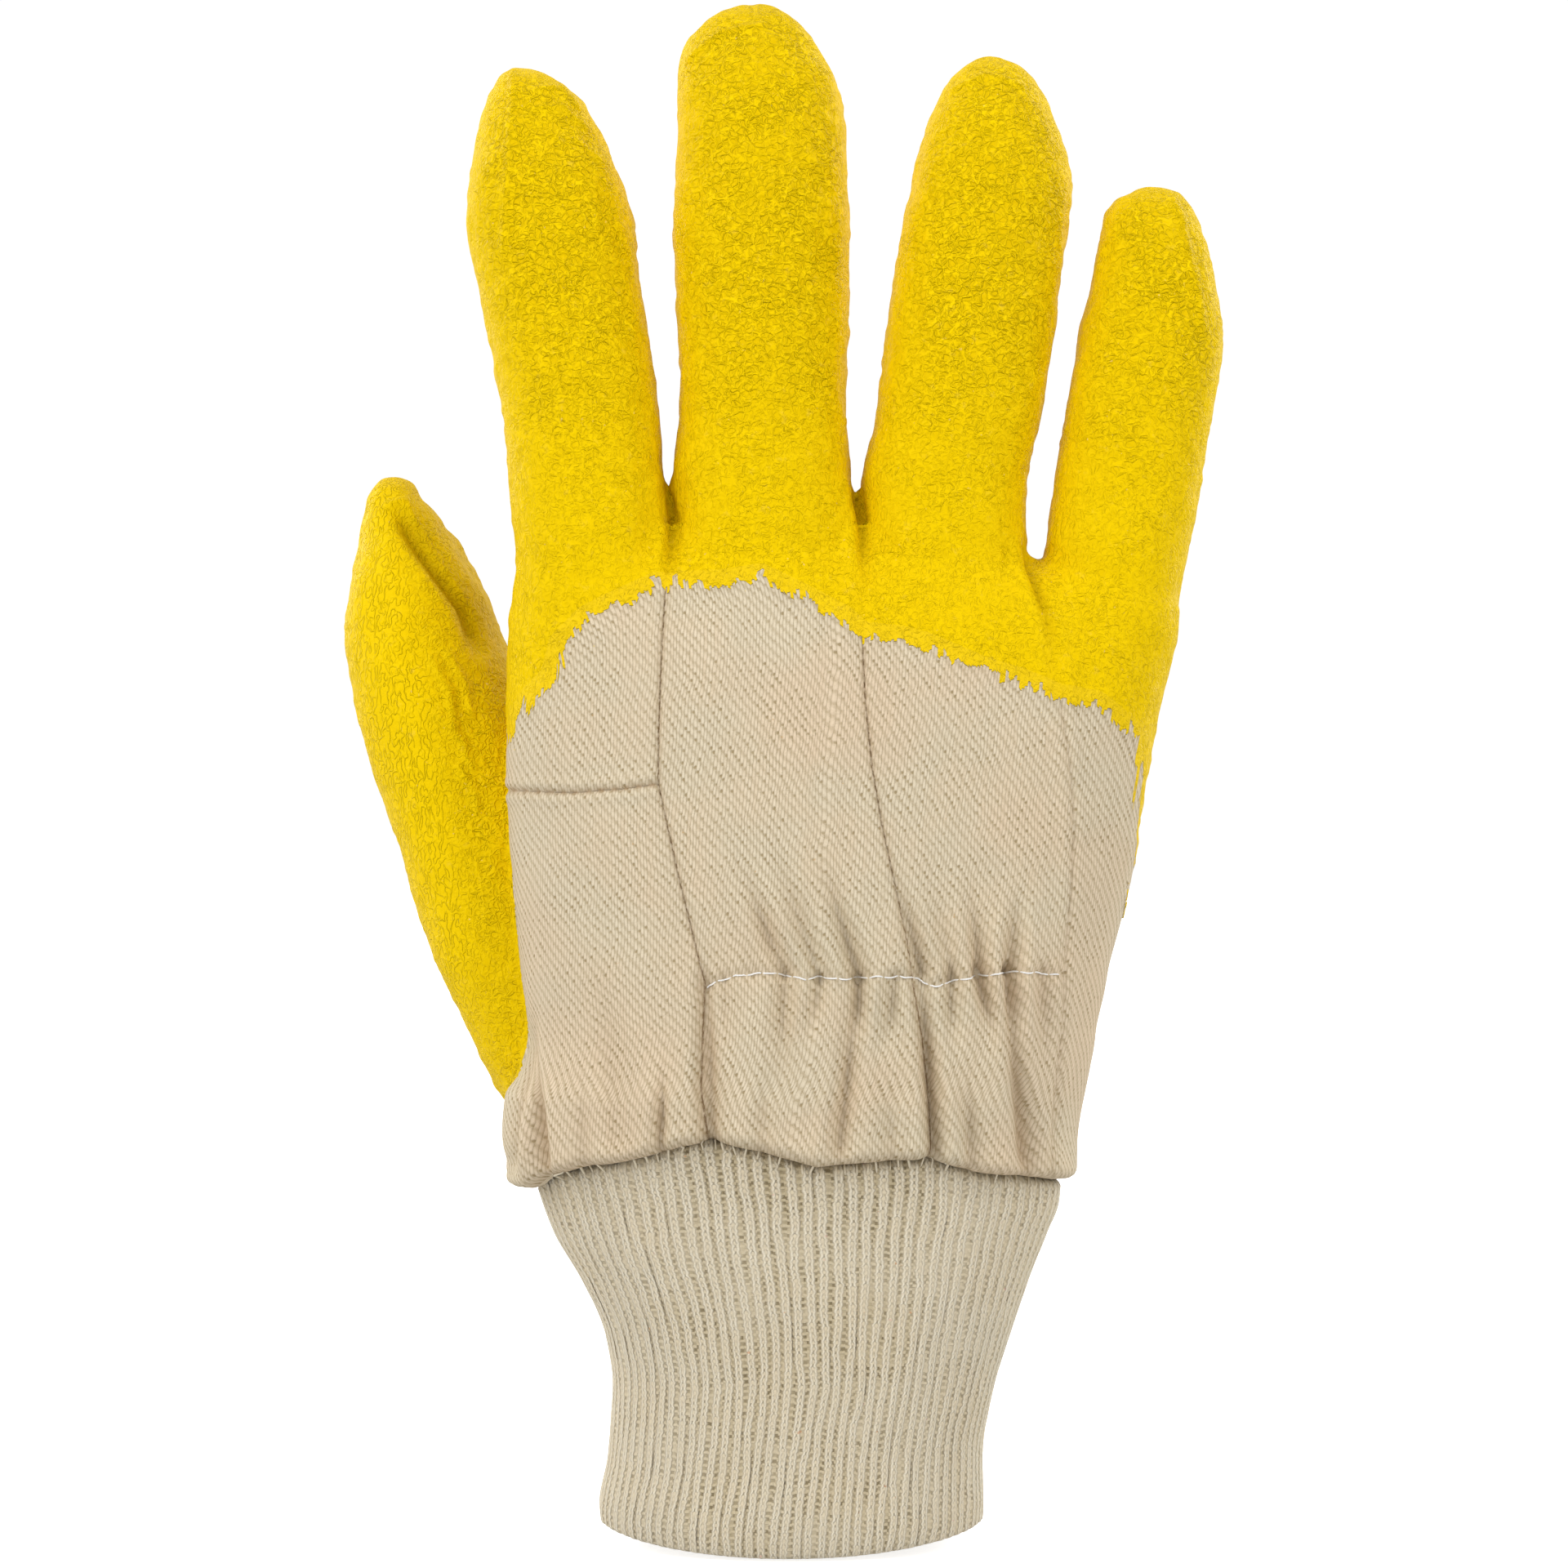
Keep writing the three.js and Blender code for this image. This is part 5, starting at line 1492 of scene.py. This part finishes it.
class GLOVE_OT_knit_cuff(bpy.types.Operator):
    """Knit the ribbed cuff"""

    bl_idname = "glove.knit_cuff"
    bl_label = "Knit Cuff"

    def execute(self, context):
        scene = context.scene
        points, rib, z, dark, _ = knit_surface(scene.glove_shape)
        faces = ring_faces(*rib.shape).reshape(-1, 4)
        width = 1 / COLUMNS_PER_RIB
        ribs = rib[:-1, :, None] + np.array([0.0, width, width, 0.0])
        cloth = np.stack([ribs.reshape(-1, 4), z.ravel()[faces]], axis=2)
        flat = points.reshape(-1, 3)
        a, b, c = flat[faces[len(faces) // 2, :3]]
        if np.dot(np.cross(b - a, c - a)[:2], a[:2]) < 0:
            faces, cloth = faces[:, ::-1], cloth[:, ::-1]
        cloth = cloth.reshape(-1, 2)
        piece = mesh_object(
            "knit_cuff_ribs", flat, faces, (knit_material(scene.glove_finish),), cloth,
            {"dark": dark.ravel()})
        settle_in_frame(piece, "knit", "knit_cuff")
        return {"FINISHED"}


class GLOVE_OT_elastic_row(bpy.types.Operator):
    """Sew the pale row that gathers the back"""

    bl_idname = "glove.elastic_row"
    bl_label = "Elastic Row"

    def execute(self, context):
        shape = context.scene.glove_shape
        x = np.arange(ELASTIC_ROW[0, 0] + 0.3, ELASTIC_ROW[-1, 0], 0.3)
        z = np.interp(x, *ELASTIC_ROW.T) + 0.12 * np.sin(x * 1.9)
        places, normals = lay_on(shape, x, z, -1)
        kernel = np.array([0.2, 0.6, 0.2])
        for k in range(3):
            places[1:-1, k] = np.convolve(places[:, k], kernel, "valid")
        lift = 0.2 - 0.36 * (0.5 + 0.5 * np.cos(x * 2 * math.pi / 2.5)) ** 3
        path = places + normals * lift[:, None]
        white = thread_material("elastic thread", (0.95, 0.94, 0.92), (0.80, 0.77, 0.72))
        piece = threads_object("elastic_row_thread", [(path, shape.thread * 1000)], white)
        settle_in_frame(piece, "cotton")
        return {"FINISHED"}


class GLOVE_OT_seam_stitches(bpy.types.Operator):
    """Sew the loops that join the cotton to the cuff, and the stitches of the seam across"""

    bl_idname = "glove.seam_stitches"
    bl_label = "Seam Stitches"

    def execute(self, context):
        shape = context.scene.glove_shape
        random = np.random.default_rng(7)
        pale = thread_material("seam thread", (0.74, 0.66, 0.50), (0.50, 0.41, 0.27))
        loops = []
        for side, seam in ((-1, CUFF_SEAM_BACK), (1, CUFF_SEAM_PALM)):
            for x in np.arange(-40.0, 41.5, 1.8):
                x = x + random.uniform(-0.4, 0.4)
                lean = random.uniform(-0.15, 0.15)
                t = np.linspace(0, 1, 7)
                z = np.interp(x, *seam.T) + random.uniform(-0.2, 0.4) - random.uniform(1.3, 2.1) * t
                places, normals = lay_on(shape, x + lean * t, z, side)
                out = normals.mean(0)
                out = out / np.linalg.norm(out)
                depth = places @ out
                hull = np.maximum(depth, np.linspace(depth[0], depth[-1], 7))
                lifted = places + out * (hull - depth + 0.1 * np.sin(math.pi * t) - 0.05)[:, None]
                loops.append((lifted, random.uniform(0.14, 0.22)))
        piece = threads_object("cuff_seam_loops", loops, pale)
        settle_in_frame(piece, "cotton")
        brown = thread_material("dark seam thread", (0.42, 0.33, 0.22), (0.2, 0.15, 0.09))
        stitches = []
        for x in np.arange(-46.0, -23.2, 2.1):
            t = np.linspace(0, 1, 5)
            z = np.interp(x + 1.3 * t, *KNUCKLE_SEAM.T)
            places, normals = lay_on(shape, x + 1.3 * t, z, -1)
            stitches.append((places + normals * (0.05 * np.sin(math.pi * t))[:, None], 0.13))
        piece = threads_object("knuckle_seam_stitches", stitches, brown)
        settle_in_frame(piece, "cotton")
        return {"FINISHED"}


class GLOVE_OT_stage(bpy.types.Operator):
    """Set up the camera, the floor and the soft lights"""

    bl_idname = "glove.stage"
    bl_label = "Stage"

    def execute(self, context):
        scene = context.scene
        stage = scene.glove_stage
        data = bpy.data.cameras.new("camera")
        data.sensor_width = 36.0
        data.lens = 36.0 * stage.distance / stage.span
        data.clip_start, data.clip_end = 0.01, 50.0
        camera = bpy.data.objects.new("camera", data)
        camera.location = (stage.side, -stage.distance, stage.height)
        camera.rotation_euler = (math.pi / 2, 0.0, 0.0)
        scene.collection.objects.link(camera)
        scene.camera = camera

        paint = Shader("white floor").fixed(
            Base_Color=(0.9, 0.9, 0.9, 1.0), Roughness=0.9, Specular_IOR_Level=0.0,
            Emission_Color=WHITE, Emission_Strength=0.75)
        corners = FLOOR_HALF * np.array([(-1, -1, 0), (1, -1, 0), (1, 1, 0), (-1, 1, 0)])
        corners[:, 2] = FLOOR_HEIGHT
        floor = mesh_object("floor", corners, np.array([[0, 1, 2, 3]]), (paint,))
        floor.visible_diffuse = floor.visible_glossy = False

        # A white dome for the eye alone, so that the soft lights shape the glove and not the white around it
        glow = Shader("white backdrop").fixed(
            Base_Color=BLACK, Specular_IOR_Level=0.0, Emission_Color=WHITE, Emission_Strength=1.02)
        turn, rise = np.arange(48) / 48 * 2 * math.pi, np.linspace(-0.2, math.pi / 2, 12)
        rise, turn = np.meshgrid(rise, turn, indexing="ij")
        dome = np.stack([np.cos(turn) * np.cos(rise), np.sin(turn) * np.cos(rise), np.sin(rise)], axis=2)
        inward = ring_faces(*turn.shape).reshape(-1, 4)[:, ::-1]
        backdrop = mesh_object("backdrop", DOME_RADIUS * dome.reshape(-1, 3), inward, (glow,))
        backdrop.visible_diffuse = backdrop.visible_glossy = backdrop.visible_shadow = False

        world = bpy.data.worlds.new("studio")
        world.use_nodes = True
        background = world.node_tree.nodes["Background"]
        background.inputs["Color"].default_value = WHITE
        background.inputs["Strength"].default_value = stage.sky
        scene.world = world
        lights = (
            ("left light", -0.75, -0.55, 1.3), ("right light", 0.75, -0.55, 0.93),
            ("left back light", -0.75, 0.65, 0.9), ("right back light", 0.75, 0.65, 0.9))
        for name, x, y, share in lights:
            light = bpy.data.lights.new(name, "AREA")
            light.shape = "RECTANGLE"
            light.size, light.size_y = 0.5, 0.9
            light.energy = stage.side_light * share
            lamp = bpy.data.objects.new(name, light)
            lamp.location = (x, y, 0.6)
            aim = Vector((0.0, 0.0, GLOVE_MIDDLE)) - lamp.location
            lamp.rotation_euler = aim.to_track_quat("-Z", "Y").to_euler()
            scene.collection.objects.link(lamp)
        scene.view_settings.view_transform = "Standard"
        return {"FINISHED"}


class GLOVE_PT_panel(bpy.types.Panel):
    """Sizes, finishes and steps of the glove"""

    bl_label = "Work Glove"
    bl_idname = "GLOVE_PT_panel"
    bl_space_type = "VIEW_3D"
    bl_region_type = "UI"
    bl_category = "Glove"

    def draw(self, context):
        layout = self.layout
        for settings in (context.scene.glove_shape, context.scene.glove_finish, context.scene.glove_stage):
            box = layout.box()
            for key in settings.bl_rna.properties.keys():
                if key not in ("rna_type", "name"):
                    box.prop(settings, key)
        for step in STEPS:
            layout.operator(step.bl_idname)


STEPS = (
    GLOVE_OT_stage, GLOVE_OT_coated_pieces, GLOVE_OT_cotton_panels, GLOVE_OT_knit_cuff, GLOVE_OT_elastic_row,
    GLOVE_OT_seam_stitches,
)
CLASSES = (GloveShape, GloveFinish, GloveStage, *STEPS, GLOVE_PT_panel)


def register():
    for item in CLASSES:
        bpy.utils.register_class(item)
    bpy.types.Scene.glove_shape = bpy.props.PointerProperty(type=GloveShape)
    bpy.types.Scene.glove_finish = bpy.props.PointerProperty(type=GloveFinish)
    bpy.types.Scene.glove_stage = bpy.props.PointerProperty(type=GloveStage)


def unregister():
    del bpy.types.Scene.glove_stage
    del bpy.types.Scene.glove_finish
    del bpy.types.Scene.glove_shape
    for item in reversed(CLASSES):
        bpy.utils.unregister_class(item)


def main():
    register()
    bpy.ops.glove.stage()
    bpy.ops.glove.coated_pieces()
    bpy.ops.glove.cotton_panels()
    bpy.ops.glove.knit_cuff()
    bpy.ops.glove.elastic_row()
    bpy.ops.glove.seam_stitches()


if __name__ == "__main__":
    main()
